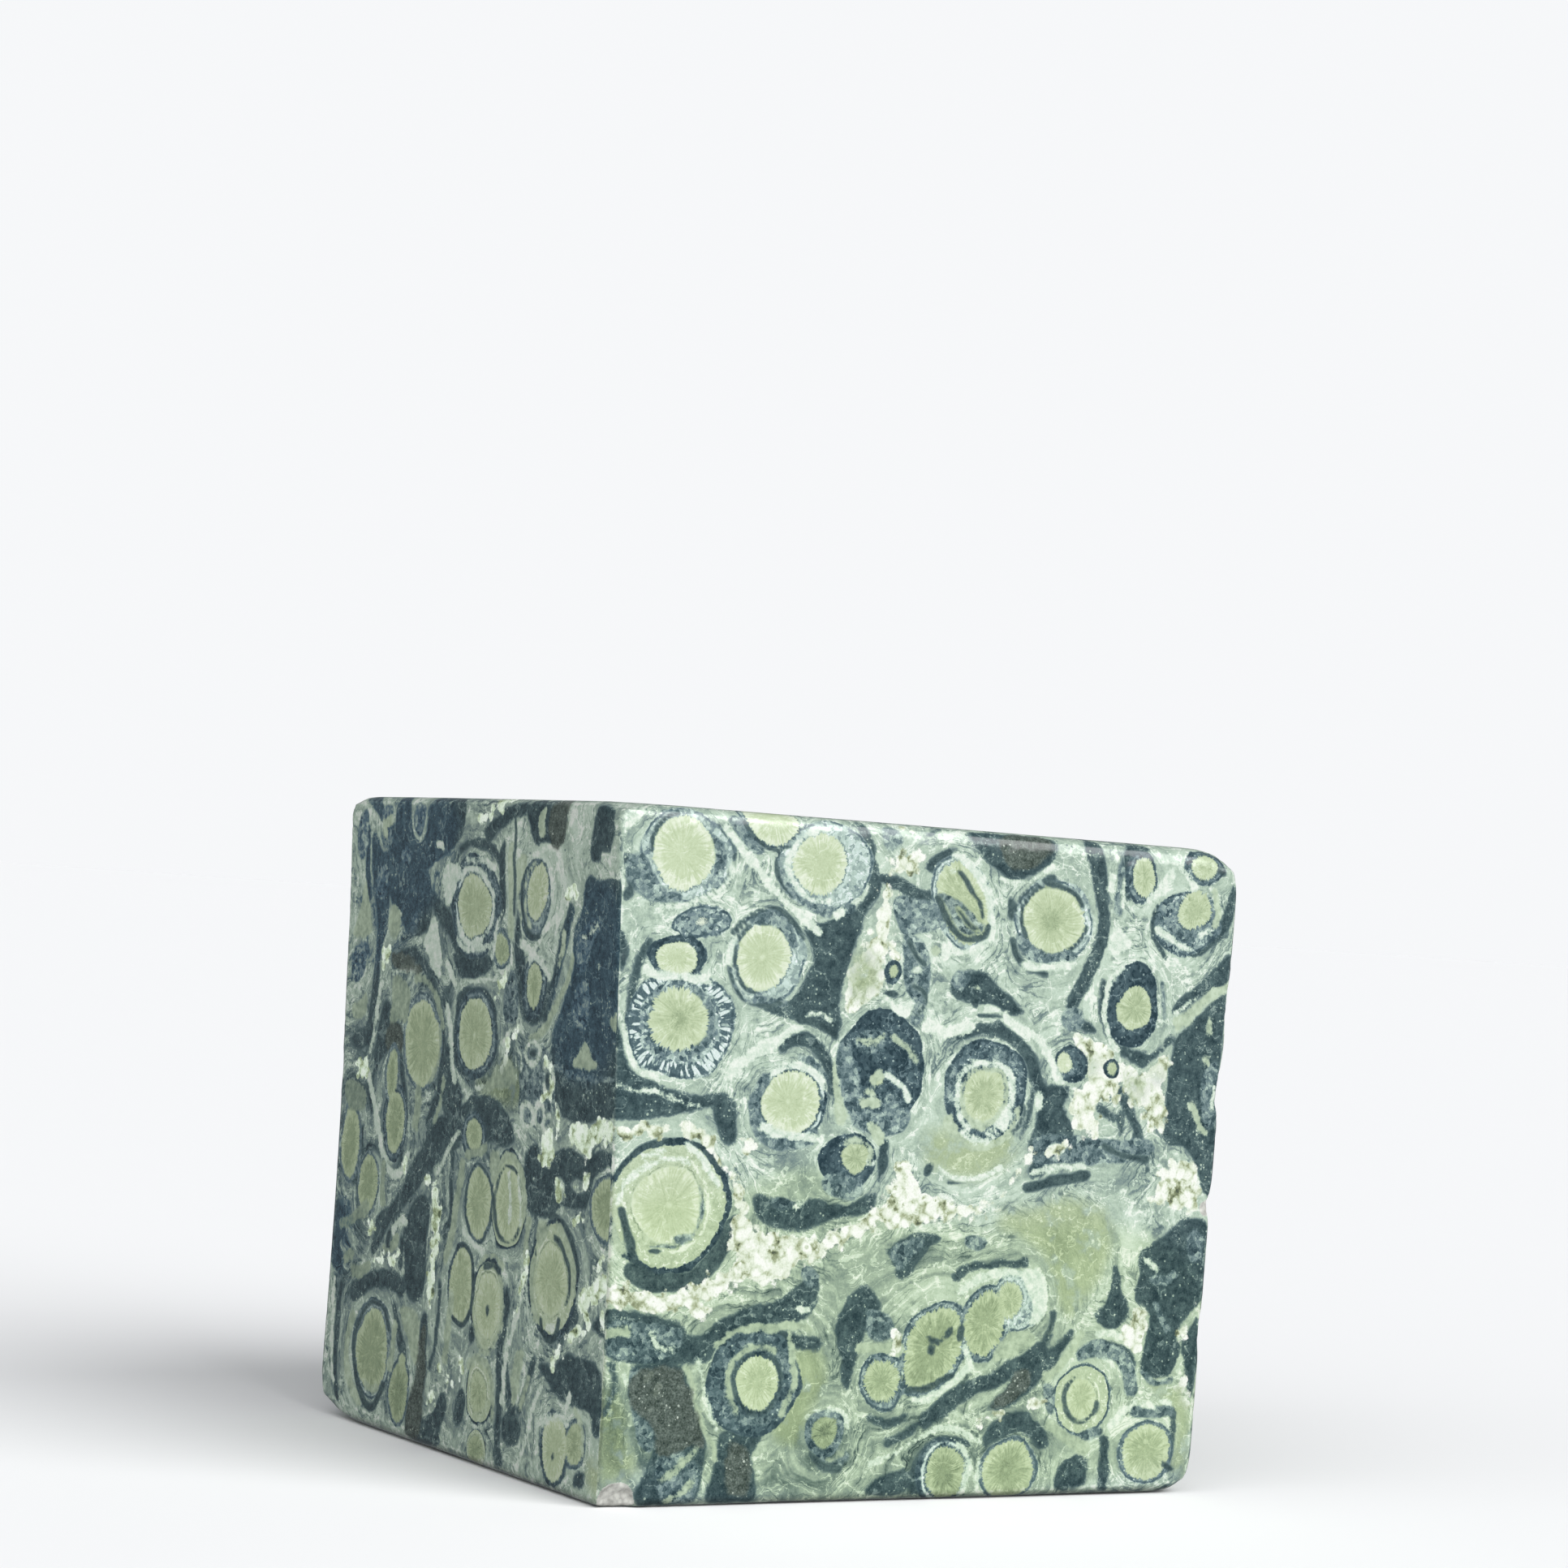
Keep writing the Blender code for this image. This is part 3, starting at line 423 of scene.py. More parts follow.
    arc("pale", 0.4, (4.85, 30.25), (2.7, 2.65), -80, 240),
    arc("mint", 0.9, (4.8, 29.9), (3.5, 3.2), -150, -12),
    arc("pale", 0.3, (4.8, 30.0), (3.1, 3.0), -130, -20),
    arc("ink", 0.25, (4.8, 29.8), (3.9, 3.6), -40, 0),
    patch("grey", (4.9, 34.1), (6.4, 33.8), (7.2, 32.9), (6.6, 32.5), (5.2, 33.0)),
    patch("grey", (1.3, 32.6), (2.2, 32.2), (2.2, 29.6), (1.4, 29.4), (1.2, 31)),
    patch("pale", (9.5, 30.8), (9.9, 31.4), (10.4, 30.9), (10.3, 29.6), (9.6, 29.2)),
    patch("grey", (-6.8, 34.6), (-5.4, 34.9), (-3.8, 34.4), (-4.2, 33.4), (-5.8, 32.9), (-7, 33.4)),
    patch("grey", (-8.4, 34.0), (-7.4, 34.4), (-6.8, 32.2), (-6.2, 30.4), (-6.4, 28.6), (-7.6, 28.6), (-8.4, 31.0)),
    patch("grey", (-6.8, 29.2), (-4.6, 28.9), (-2.2, 29.4), (-1.4, 28.4), (-2.6, 27.2), (-5.6, 27.2), (-7.2, 28.0)),
    patch("mint", (-5.7, 28.1), (-4.5, 28.3), (-3.7, 27.2), (-4.2, 26.2), (-4.8, 26.8)),
    vein("mint", 0.45, (-3.4, 34.2), (-2.4, 33.7), (-1.6, 33.0)),
    vein("mint", 0.3, (-6.6, 34.0), (-5.4, 33.7), (-4.4, 34.2)),
    patch("mint", (-5.7, 31.6), (-4.9, 32.2), (-4.1, 32.0), (-4.0, 31.4), (-4.6, 31.2), (-5.0, 30.7), (-5.7, 30.9)),
    vein("pale", 0.3, (-4.0, 31.8), (-3.0, 31.3), (-2.2, 30.7), (-1.9, 29.9)),
    vein("mint", 0.55, (-6.1, 29.5), (-4.8, 29.7)),
    vein("mint", 0.3, (-5.8, 30.4), (-5.2, 30.5)),
    patch("grey", (-4.0, 30.6), (-2.8, 30.4), (-2.6, 29.2), (-4.2, 28.8)),
    patch("grey", (11.4, 37.3), (13.2, 37.4), (13.8, 36), (12.4, 35.4), (11.5, 35.9)),
    vein("grey", 0.7, (16.1, 49.4), (16.3, 47), (16.2, 44.8)),
    vein("pale", 0.6, (15.5, 49.9), (15.7, 49.0)),
    vein("pale", 0.5, (15.4, 47.6), (15.5, 46.6)),
    vein("pale", 0.3, (16.5, 47.4), (16.6, 45.2)),
    patch("pale", (15.6, 43.6), (17.2, 43.6), (17.8, 42.4), (16.4, 41.6), (15.4, 42.2)),
    vein("pale", 0.5, (19.3, 45.9), (20.3, 47), (21.2, 48.3)),
    patch("ink", (25.2, 48.6), (26.2, 48.9), (26.6, 48.2), (25.8, 47.9)),
    vein("pale", 0.3, (21.8, 48.8), (22.6, 47.9), (23.4, 47.2)),
    arc("ink", 0.25, (22.8, 44.4), (3.2, 2.6), 150, 200),
    patch("grey", (20.6, 44.6), (22.2, 44.0), (24.2, 43.6), (23.6, 42.6), (21.6, 43.2)),
    vein("pale", 0.4, (20.1, 43.8), (21.4, 43.0), (23.3, 42.3)),
    vein("pale", 0.3, (24.4, 43.2), (25.6, 44.2)),
    arc("mint", 0.5, (23.5, 45.4), (2.2, 2.3), -30, 40),
    vein("mint", 1.0, (22.6, 36.4), (24.4, 37.9)),
    vein("mint", 0.45, (24.2, 37.8), (27.8, 39.95)),
    vein("pale", 0.2, (22.3, 37.0), (24.6, 38.6)),
    patch("mint", (25.4, 36.9), (26, 37.4), (26.3, 36.4), (25.9, 35.6), (25.4, 36)),
    vein("mint", 0.4, (25.5, 34), (25.9, 32.8)),
    patch("grey", (25.0, 33), (26.9, 34), (27.2, 30), (26.4, 27.8), (25.2, 30)),
    vein("mint", 0.5, (24.4, 30.2), (25.2, 29), (26, 28.2)),
    vein("pale", 0.25, (26.6, 31.6), (26.6, 30)),
    arc("pale", 0.35, (18.2, 37.6), (2.75, 3.6), 120, 250),
    vein("grey", 0.3, (20.9, 39.8), (21.4, 38.4), (21.2, 36.8)),
    arc("ink", 1.3, (-21.6, 21.2), (5.3, 5.4), -125, -10),
    arc("ink", 0.35, (-22.0, 21.5), (4.95, 4.9), 30, 150),
    arc("mint", 0.5, (-22.0, 21.5), (4.9, 4.8), 160, 235),
    vein("cream", 0.6, (-20.8, 26.2), (-19.4, 25.0), (-18.2, 23.4)),
    vein("pale", 0.45, (-20.9, 26.0), (-19.3, 24.7), (-18.1, 23.1)),
    vein("ink", 0.55, (-25.6, 21.1), (-25.3, 19.2), (-24.7, 17.6)),
    vein("ink", 0.3, (-23.4, 18.2), (-22.7, 18.3)),
    vein("pale", 0.3, (-25.9, 21.8), (-25.5, 23.2), (-24.8, 23.9)),
    vein("pale", 0.3, (-25.0, 23.4), (-23.8, 24.6), (-22, 25.0), (-20.6, 24.6)),
    vein("pale", 0.2, (-24.2, 25.2), (-22.6, 25.6)),
    vein("grey", 0.2, (-19.4, 22.8), (-19.1, 21.4), (-19.6, 19.8), (-20.8, 18.9), (-23.4, 18.7)),
    vein("grey", 0.4, (-21.2, 19.4), (-20.0, 19.5)),
    vein("pale", 0.35, (-27.0, 24.6), (-26.9, 21.0), (-26.9, 18.8)),
    patch("grey", (-13.6, 22.3), (-11.6, 22.2), (-11.6, 21.5), (-13.2, 21.3)),
    vein("pale", 0.2, (-11.4, 21.5), (-10.7, 22.1)),
    patch("grey", (-9.2, 24.4), (-6.6, 24.2), (-5.3, 23.6), (-5.6, 22.4), (-9.2, 22.6)),
    vein("pale", 0.4, (-5.1, 25.2), (-4.7, 25.0)),
    arc("mint", 0.35, (-6.5, 25.5), (1.5, 1.4), -20, 120),
    patch("grey", (-10.8, 17.2), (-8.8, 17), (-8.6, 15.8), (-10, 15.6)),
    vein("mint", 0.35, (-12, 13.0), (-10.4, 13.2), (-9.4, 12.8)),
    vein("pale", 0.3, (-10.5, 14.3), (-9.6, 14.2)),
    arc("grey", 0.75, (-13.45, 8.95), (2.65, 2.7), 20, 290),
    arc("mint", 0.4, (-13.45, 8.95), (2.6, 2.65), 60, 230),
    arc("ink", 0.22, (-13.45, 8.95), (2.1, 2.2), 0, 360),
    vein("mint", 0.55, (-17.3, 11.5), (-16.1, 12.6), (-14.4, 13.1), (-12.4, 12.9)),
    vein("mint", 0.35, (-11.1, 12.2), (-10.2, 10.6), (-10.4, 8.2), (-11.2, 6.6)),
    vein("mint", 0.3, (-19.6, 9.8), (-18.2, 6.7), (-16.9, 4.3), (-16.7, 3.2)),
    vein("pale", 0.2, (-19.0, 10.6), (-17.6, 7.6), (-16.6, 5.6)),
    patch("grey", (-26.4, 13.2), (-24, 13.2), (-21, 13), (-19.8, 12.2), (-20.4, 10.6), (-24, 10.4), (-26.4, 10.8)),
    vein("mint", 0.4, (-26.2, 12.4), (-24.6, 12.6)),
    vein("pale", 0.3, (-22.8, 12.4), (-22, 11.4), (-20.6, 11.2)),
    patch("grey", (-24.6, 10.2), (-23, 10), (-22.4, 8.4), (-23.2, 7), (-24.4, 7.6)),
    vein("pale", 0.35, (-24.8, 9.6), (-24.6, 9.0)),
    vein("pale", 0.4, (-22.9, 9.4), (-22.2, 9.8)),
    vein("pale", 0.3, (-22.2, 8.2), (-21.8, 8.9)),
    patch("grey", (-24.2, 7.4), (-22.6, 6.8), (-21.8, 5.4), (-22, 4), (-23, 4.4), (-23.4, 5.6)),
    patch("grey", (-21.9, 3.8), (-19.6, 4), (-17.9, 3), (-17.9, 0.2), (-21.2, 0.2)),
    vein("mint", 0.35, (-21.2, 2.0), (-19.4, 3.2), (-18.2, 4.0)),
    vein("mint", 0.4, (-20.4, 0.4), (-18.6, 1.8)),
    patch("grey", (-4.5, 14.2), (-3.2, 14.0), (-2, 13.2), (-2, 12), (-3.4, 11.6), (-4.4, 12.4)),
    vein("mint", 0.7, (-4.8, 11.3), (-3, 11.3), (-1.6, 11.2)),
    patch("ink", (1.2, 11.5), (1.5, 11.6), (1.9, 11.1), (1.7, 10.5), (1.2, 10.7)),
    patch("ink", (2.0, 12.1), (2.4, 12.3), (2.7, 12.0), (2.3, 11.7)),
    vein("ink", 0.5, (2.8, 12.3), (3.1, 12.6)),
    vein("ink", 0.5, (4.1, 12.1), (4.2, 12.7)),
    vein("ink", 0.35, (1.2, 12.0), (2.0, 11.7)),
    vein("ink", 0.4, (-0.2, 8.2), (1.2, 8.2), (2.4, 8.7), (3.6, 9.2)),
    vein("pale", 0.4, (0.4, 7.4), (2.4, 7.8), (4.2, 9.0), (5.2, 10.2)),
    vein("pale", 0.4, (4.7, 11.4), (5.0, 10.8)),
    vein("pale", 0.5, (3.6, 15.4), (4.6, 16.4), (6.4, 16.8), (8.4, 16.9), (10.2, 17.2)),
    patch("pale", (9.3, 17.4), (11, 17.4), (12.2, 15.8), (12, 14), (10.9, 12.8), (10.2, 13.2), (10.8, 14.6), (9.8, 15.8)),
    patch("grey", (-3.2, 18.2), (-2, 19.2), (-0.6, 19.6), (0.8, 19.4), (-0.6, 17.9), (-2, 17)),
    patch("mint", (7.8, 12.4), (9.4, 12.8), (11, 12.4), (10.8, 11.2), (8.2, 10.6), (6.6, 10.4)),
    arc("pale", 0.25, (-7.2, 5.0), (1.95, 2.1), 0, 150),
    patch("grey", (-8.6, 4), (-6.6, 3.8), (-5.2, 4), (-5, 3), (-6.8, 2.2), (-8.4, 3)),
    vein("ink", 0.35, (-8.4, 3.6), (-7.2, 2.7), (-6, 2.5)),
    vein("mint", 0.35, (-6.8, 3.3), (-5.6, 3.7)),
    vein("pale", 0.3, (-3.4, 2.6), (-1, 3.4), (0.6, 4.6), (2.4, 5.4), (4.4, 5.4), (6.2, 4.4)),
    arc("pale", 0.3, (3.4, 2.1), (2.1, 2.3), -60, 60),
    vein("pale", 0.25, (6.3, 2.9), (6.3, 0.4)),
    patch("grey", (24.8, 20.8), (26.6, 20.4), (26.8, 18), (25, 18.2)),
    arc("grey", 0.5, (-7.3, 5.25), (1.5, 1.55), 0, 360),
    vein("pale", 0.25, (21.3, 17.9), (22.2, 17.4)),
    vein("grey", 0.6, (22, 16.6), (23.2, 16.6), (23.8, 17.2)),
    vein("grey", 0.4, (22.2, 14.6), (23.4, 12.6)),
    vein("pale", 0.45, (16.6, 12.0), (17.6, 12.8), (19.2, 12.5)),
    vein("pale", 0.2, (16.7, 11.1), (17.8, 10.8), (18.6, 10.0)),
    vein("grey", 1.1, (15.4, 11.0), (16.9, 11.5), (18.8, 11.0), (20.0, 9.6), (20.3, 8.0)),
    vein("grey", 0.6, (15.6, 4.5), (17.6, 4.9)),
    vein("grey", 0.4, (21.3, 9.3), (22.8, 8.5), (24.4, 8.9)),
    arc("ink", 0.25, (15.7, 7.45), (1.8, 1.85), 120, 350),
    vein("mint", 0.6, (12.3, 9.0), (13.6, 10.4), (15.2, 12.4)),
    patch("grey", (11.9, 8.7), (13.2, 8.4), (13.2, 6.6), (12.6, 6.2), (12.2, 7.6)),
    vein("mint", 0.8, (12.6, 5.6), (14.4, 4.4), (16.2, 3.6)),
    vein("pale", 0.45, (18.7, 5.4), (19.5, 6.4), (20.6, 7.0)),
    vein("grey", 0.8, (20.6, 6.4), (22.3, 6.3), (24.2, 6.6)),
    vein("pale", 0.3, (21.4, 6.9), (22.6, 6.9)),
    vein("pale", 0.25, (23.5, 7.3), (24.2, 7.2)),
    vein("ink", 0.4, (24.1, 2.6), (25.0, 2.3)),
    patch("grey", (9.2, 27.6), (15, 27.6), (20.5, 27.4), (21.4, 26.2), (18, 25.6), (15, 25.4), (12, 25), (9.6, 24.9)),
    vein("ink", 0.7, (9.2, 23.7), (11.4, 24.1), (14.8, 24.6)),
    vein("pale", 0.3, (9.2, 24.7), (11.6, 25.1), (14.6, 25.2)),
    vein("pale", 0.6, (11.4, 26.4), (12.3, 26.5)),
    vein("ink", 0.3, (16.2, 27.0), (18, 26.2), (20.4, 25.8)),
    patch("ink", (0, 25.1), (0.9, 25.4), (0.6, 24.2), (-0.2, 23.9)),
    vein("ink", 0.25, (2.0, 23.7), (3.8, 23.9)),
    vein("pale", 0.25, (1.2, 24.8), (2.4, 23.9), (4.7, 24.1), (6.8, 24.9)),
    vein("grey", 0.9, (4.4, 19.5), (5.4, 19.3)),
]

# Side face, as (y, z)
LEFT_SHAPES = [
    patch("dim_and_shade", (-25, 51), (25, 51), (25, 0), (-25, 0)),
    patch("dim_and_shade", (-2, 46), (6, 46), (25, 30), (25, 8), (4, 16), (-6, 24), (-12, 33), (-5, 36)),
    # Painted light: the seams over the whole shaded side face are made whiter.
    patch("painted_seam_light", (-26, 52), (26, 52), (26, -2), (-26, -2)),
    patch("dim_and_shade", (16, 30), (26, 33), (26, -2), (20.6, -2), (16, 20)),
    patch("bright", (-19.6, 50.6), (-4, 50.6), (-5.2, 40), (-9, 38), (-13.6, 36), (-17.4, 42.4)),
    patch("bright", (-15.4, 45.6), (-12, 46.6), (-7, 48), (-5.4, 44), (-12, 39.6), (-17, 43)),
    # Painted reflection: bluish sheen over the darker stone of the side face.
    patch("blue_reflection", (-24.5, 45), (-16, 44), (-12, 30), (-24.5, 30)),
    patch("blue_reflection", (2, 50.6), (26, 50.6), (26, 34), (17, 36), (4, 44)),
    patch("blue_reflection", (19, 18), (23, 18), (23.5, 11), (19.4, 12)),
    patch("olive", (-8.8, 29.6), (-5.6, 31), (-4, 29), (-1, 28.8), (-4.6, 27.4), (-8.4, 27.4), (-9.4, 28.4)),
    patch("olive", (-24.5, 2.6), (-22, 3.6), (-21.6, 1.4), (-24.5, 0.4)),
    patch("slate", (-23.3, 48.6), (-22.8, 49.9), (-20.6, 49.9), (-20.2, 49), (-19.2, 47.4), (-19.3, 45.4), (-20.6, 45.5),
          (-21.2, 46.6), (-22.4, 46.2), (-23, 47.2)),
    patch("slate", (-15.5, 50.4), (-15.3, 48), (-14.8, 47), (-13.6, 46.6), (-12.2, 47), (-11, 46.7), (-9.6, 47.6),
          (-8.4, 50.4)),
    patch("brown", (-15.6, 49), (-15, 46.8), (-13, 46.4), (-12.6, 48), (-13.4, 50.6), (-15.6, 50.6)),
    patch("slate", (-24.6, 44.4), (-22, 44.6), (-20.4, 44.4), (-19.2, 44.9), (-18.4, 44), (-18.2, 42.4), (-17, 41.3),
          (-16.6, 39.6), (-16.5, 38), (-15.8, 36), (-14.8, 34.4), (-13.8, 33), (-13.7, 31.6), (-12.6, 30.8), (-14.2, 30.2),
          (-13.4, 28.2), (-15, 27.0), (-27, 26.8), (-27, 44.4)),
    patch("slate", (-24.6, 25.2), (-16.6, 25.2), (-15, 24.2), (-9.6, 25.2), (-9.9, 19.7), (-14.6, 19.5), (-16.2, 20.8),
          (-18, 20.4), (-20.4, 21), (-20.9, 23.4), (-22.8, 24.2), (-24.6, 23.8)),
    vein("slate", 1.0, (-16.4, 42.2), (-15.4, 40.4), (-14.3, 38.2), (-13.5, 36.2), (-12.8, 34.4)),
    patch("slate", (-9.2, 38.6), (-8.4, 39.6), (-7.6, 42), (-7.2, 42), (-6.9, 38.5), (-7.6, 36), (-8.8, 34.4), (-10.4, 33.5),
          (-12, 33.7), (-12.9, 35), (-12.9, 36.8), (-12.2, 37.4), (-11.8, 35.4), (-10.6, 34.6), (-9.4, 35.4), (-9.2, 37)),
    patch("slate", (-5.4, 47.6), (-4.2, 46.4), (-4.4, 44.6), (-4.2, 42.6), (-4.4, 41.2), (-5.4, 40.8), (-5.6, 44)),
    vein("slate", 1.1, (-8.6, 49.6), (-6, 49.0), (-4, 48.3), (-2.4, 47.5)),
    vein("slate", 0.6, (-4.4, 45.8), (-2.6, 46.6), (0.4, 46.8), (2.4, 46.0)),
    patch("slate", (-4.2, 38.2), (-2.4, 36.9), (0.4, 36.3), (2.6, 36.5), (3.8, 38.8), (1.4, 38.4), (-2, 38.6)),
    patch("slate", (2.2, 31.4), (4.4, 31.8), (4.6, 28), (4.2, 25.6), (1.2, 25.8), (0.8, 27.8), (2.6, 29)),
    vein("slate", 1.2, (15.4, 47.6), (17.6, 49.2), (20.2, 50.4)),
    vein("slate", 0.8, (20.2, 47.6), (20.4, 45), (19.4, 42.2)),
    patch("slate", (-3.6, 35.6), (-1, 35.9), (2, 35.6), (3, 34), (3, 31), (2, 29), (-1, 28.9), (-3.4, 29.4), (-4.8, 31.4),
          (-4.8, 34)),
    patch("slate", (-8.6, 25.2), (-7.4, 26.6), (-5.6, 27.4), (-3, 27.9), (0, 27.6), (1.4, 26), (4.2, 25.8), (6.2, 24.4),
          (8.4, 22), (10.4, 20), (13, 17.3), (15.4, 17.1), (15.5, 15.4), (16.4, 14.2), (15.2, 13.4), (14, 15), (12.4, 16.4),
          (9.6, 18.6), (7.8, 19.4), (6.2, 21), (4.4, 22.4), (1.6, 23.6), (-0.4, 24), (-4, 24.2), (-8, 24.3)),
    patch("slate", (1.8, 50.6), (8.6, 50.6), (8.8, 48), (9.6, 46.8), (11.4, 47.2), (11.6, 50.6), (14.6, 50.6), (14.7, 47),
          (16.4, 45.6), (17.8, 46.4), (19.4, 48), (19.6, 44.6), (18.4, 42), (17.6, 39), (17.9, 35.5), (18.2, 33.4),
          (19, 31.6), (21.4, 31), (22.2, 29.8), (18.2, 30), (16.8, 33.4), (16.8, 37.6), (15.7, 39.4), (15.6, 42.6),
          (14.6, 44.6), (11.8, 45), (8.4, 44.4), (7, 45), (5.8, 45.9), (2.8, 46.2), (1.8, 47.8)),
    patch("slate", (7.6, 43.4), (8.4, 44.6), (12.2, 45.4), (14.8, 44.4), (15.9, 42.6), (15.0, 41.2), (13, 40.2), (12, 39.2),
          (9.4, 39.0), (8, 39.6), (7.4, 41.4)),
    vein("slate", 1.4, (1.5, 38.7), (3.6, 39.9), (5.2, 41.1), (7.4, 42.2)),
    vein("slate", 1.0, (4.9, 31), (5.4, 33.6), (6.4, 35.4), (7.8, 36.7), (9.6, 37.5), (12, 37.7), (14, 37.1)),
    vein("slate", 0.9, (4.9, 31.4), (4.7, 28.4), (5.6, 26.4), (6.6, 24.8)),
    patch("slate", (12.2, 32.2), (13.8, 32.6), (15.0, 34.2), (16.2, 33.8), (17.0, 31.4), (17.5, 28.6), (16.4, 28.4),
          (15.2, 29.6), (14.2, 30.3), (12.8, 30.0), (11.9, 30.8)),
    vein("slate", 0.7, (10.8, 25), (11.3, 27.2), (12.3, 29.6)),
    patch("brown", (8, 36.4), (14, 38.4), (14.6, 36.6), (8.8, 36.2)),
    patch("brown", (12, 32.4), (15, 32.6), (15.6, 30), (12.2, 29.8)),
    patch("slate", (5.5, 18.6), (6.6, 19.4), (8, 19.2), (9.6, 17.8), (10.2, 16), (9.8, 14.6), (9.2, 13.2), (10, 12.4),
          (8.6, 11), (6, 10.8), (5.8, 13), (6, 15.4), (5.3, 17)),
    vein("slate", 0.8, (10.3, 15.4), (10.3, 13.6)),
    vein("slate", 0.6, (1.9, 22.8), (1.9, 20), (1.7, 18.4), (2.9, 16.4)),
    vein("slate", 1.5, (9.8, 11.8), (12, 12.0), (15, 11.9), (18.2, 10.4)),
    patch("slate", (19.3, 17.4), (21, 16.6), (23.4, 17.6), (23.6, 11.6), (20.6, 12), (20.6, 13.2), (21.8, 13.9), (20.6, 14.6),
          (19.4, 14.2), (21.2, 15.6)),
    vein("slate", 0.8, (20.7, 10.6), (21.2, 8.4), (21.0, 5), (20.2, 2)),
    vein("slate", 0.5, (3.2, 12.8), (3.0, 10), (3.4, 7.6), (4.2, 6.2)),
    patch("slate", (4.6, 10.4), (5.8, 10.4), (6.4, 8.6), (6, 6.6), (6.2, 4.6), (7.6, 3), (7.4, 0.2), (1.0, 0.2), (1.6, 2),
          (0.4, 3.4), (1, 4.9), (2.2, 4.8), (3.2, 3), (4.6, 2.2), (5.2, 3), (4.6, 5), (4.8, 7.4)),
    patch("brown", (5.0, 10), (6.4, 8.6), (6.4, 5), (7.6, 3), (7.4, 0.2), (4.6, 0.2), (4.8, 7)),
    patch("slate", (8.2, 6.7), (9.2, 8.9), (10.6, 10.8), (11.4, 10.4), (10.2, 8.4), (9.7, 6.8), (8.9, 6.4)),
    patch("slate", (-19.9, 13), (-18.6, 14.1), (-17.8, 12.9), (-17.4, 11.2), (-18.8, 11.6)),
    patch("slate", (-9.1, 13), (-8.1, 14.3), (-7.5, 12.6), (-7.9, 10.8), (-8.6, 11.1)),
    vein("slate", 0.9, (-8.1, 10.6), (-7.7, 8.4), (-7.9, 6), (-7.9, 3), (-8.4, 1)),
    patch("slate", (-3.8, 9.5), (-2.9, 8.6), (-2.3, 9.0), (-2.4, 10.2), (-3.2, 10.8)),
    patch("slate", (-2.2, 5.5), (-0.7, 5.5), (-0.5, 2.7), (-2.2, 2.6)),
    patch("slate", (-23.7, 10.0), (-20, 10.6), (-18, 10.4), (-15.9, 9.3), (-14, 9.2), (-13.4, 8.6), (-15.6, 7.8),
          (-17.6, 6.6), (-20.2, 6.5), (-22, 6.2), (-22.4, 4.6), (-23.9, 5.4)),
    vein("slate", 1.0, (-10.0, 5.0), (-9.0, 6.6), (-8.6, 8.0)),
    patch("slate", (-11.6, 4.2), (-9.8, 5.1), (-8.3, 4.6), (-8.9, 2.6), (-11.2, 2.6)),
    vein("slate", 0.6, (-13.0, 9), (-12.1, 6.8), (-11.1, 5)),
    patch("slate", (-21.9, 2.5), (-20.4, 2.1), (-19.8, 1), (-21.5, 0.9)),
    vein("slate", 0.5, (-8.7, 17.5), (-7.6, 16.7), (-6.2, 16.9)),
    patch("cream", (-24.6, 25.9), (-24.4, 27.3), (-22.6, 27.2), (-21.4, 27.3), (-19.9, 26.9), (-18.2, 27.1), (-16.6, 26.6),
          (-17.6, 24.8), (-19.4, 24.4), (-20.6, 25.2), (-22.4, 25.8)),
    vein("cream", 0.5, (-7.4, 32.6), (-6.2, 31.2), (-5.6, 29.8)),
    vein("cream", 0.8, (-15.1, 25.8), (-15.2, 27), (-14.8, 27.7)),
    patch("cream", (-14.8, 26), (-13.4, 26.3), (-12.6, 25.4), (-12.2, 24.2), (-13.2, 23.3), (-14.8, 24.0)),
    vein("cream", 0.5, (-12.4, 28.4), (-13.6, 28.7), (-13.8, 29.8), (-13.0, 30.7)),
    vein("cream", 0.5, (-8.4, 33.0), (-7.2, 32.6), (-6.2, 31.8), (-6.1, 30.8)),
    patch("cream", (-20.4, 23.2), (-19.4, 23.6), (-18.9, 22.6), (-17.6, 22.9), (-16.9, 22.2), (-18.4, 21.8), (-19.8, 22)),
    patch("cream", (-16.3, 21), (-16.4, 22.6), (-15.2, 22.9), (-14.8, 21.8), (-15.6, 20.9)),
    vein("cream", 0.4, (-19.4, 20.4), (-18.1, 19.9)),
    vein("cream", 1.3, (-24.6, 16.4), (-22.9, 15.5), (-21.2, 15.0), (-20.2, 14.0)),
    patch("slate", (-23.8, 13.6), (-22.6, 13.8), (-21.4, 13.0), (-21.8, 12.2), (-23.8, 12.0)),
    vein("cream", 0.6, (-20.3, 13.8), (-21.2, 12.8), (-20.6, 12.0), (-19.2, 12.0), (-17.2, 10.7), (-15.7, 9.3)),
    vein("cream", 0.5, (-22.8, 17.6), (-22.0, 16.6)),
    vein("cream", 0.9, (-24.6, 17.8), (-23.8, 17)),
    vein("cream", 0.5, (-22.8, 13.8), (-23.0, 12.9)),
    vein("cream", 0.5, (-10.9, 16.4), (-10.4, 14), (-9.8, 12.4)),
    vein("cream", 1.1, (5.7, 20.3), (4.7, 19.7), (4.2, 18.2), (4.4, 15.6), (4.8, 13), (4.9, 11.6)),
    vein("cream", 0.8, (11.0, 14.2), (11.8, 13.5), (12.8, 13.5)),
    vein("cream", 0.5, (13.7, 13.3), (14.7, 13.5)),
    patch("cream", (18.4, 29.6), (20, 29.4), (21.6, 29.1), (21.2, 28.6), (20, 28.4), (20.8, 27.8), (19.4, 27.6),
          (18.2, 27.6), (18.8, 28.6)),
    patch("cream", (14.3, 38.1), (16.2, 38.6), (16.8, 37.4), (16.2, 36.2), (15.5, 36.9)),
    vein("cream", 0.6, (-17.0, 43.8), (-15.9, 43.2)),
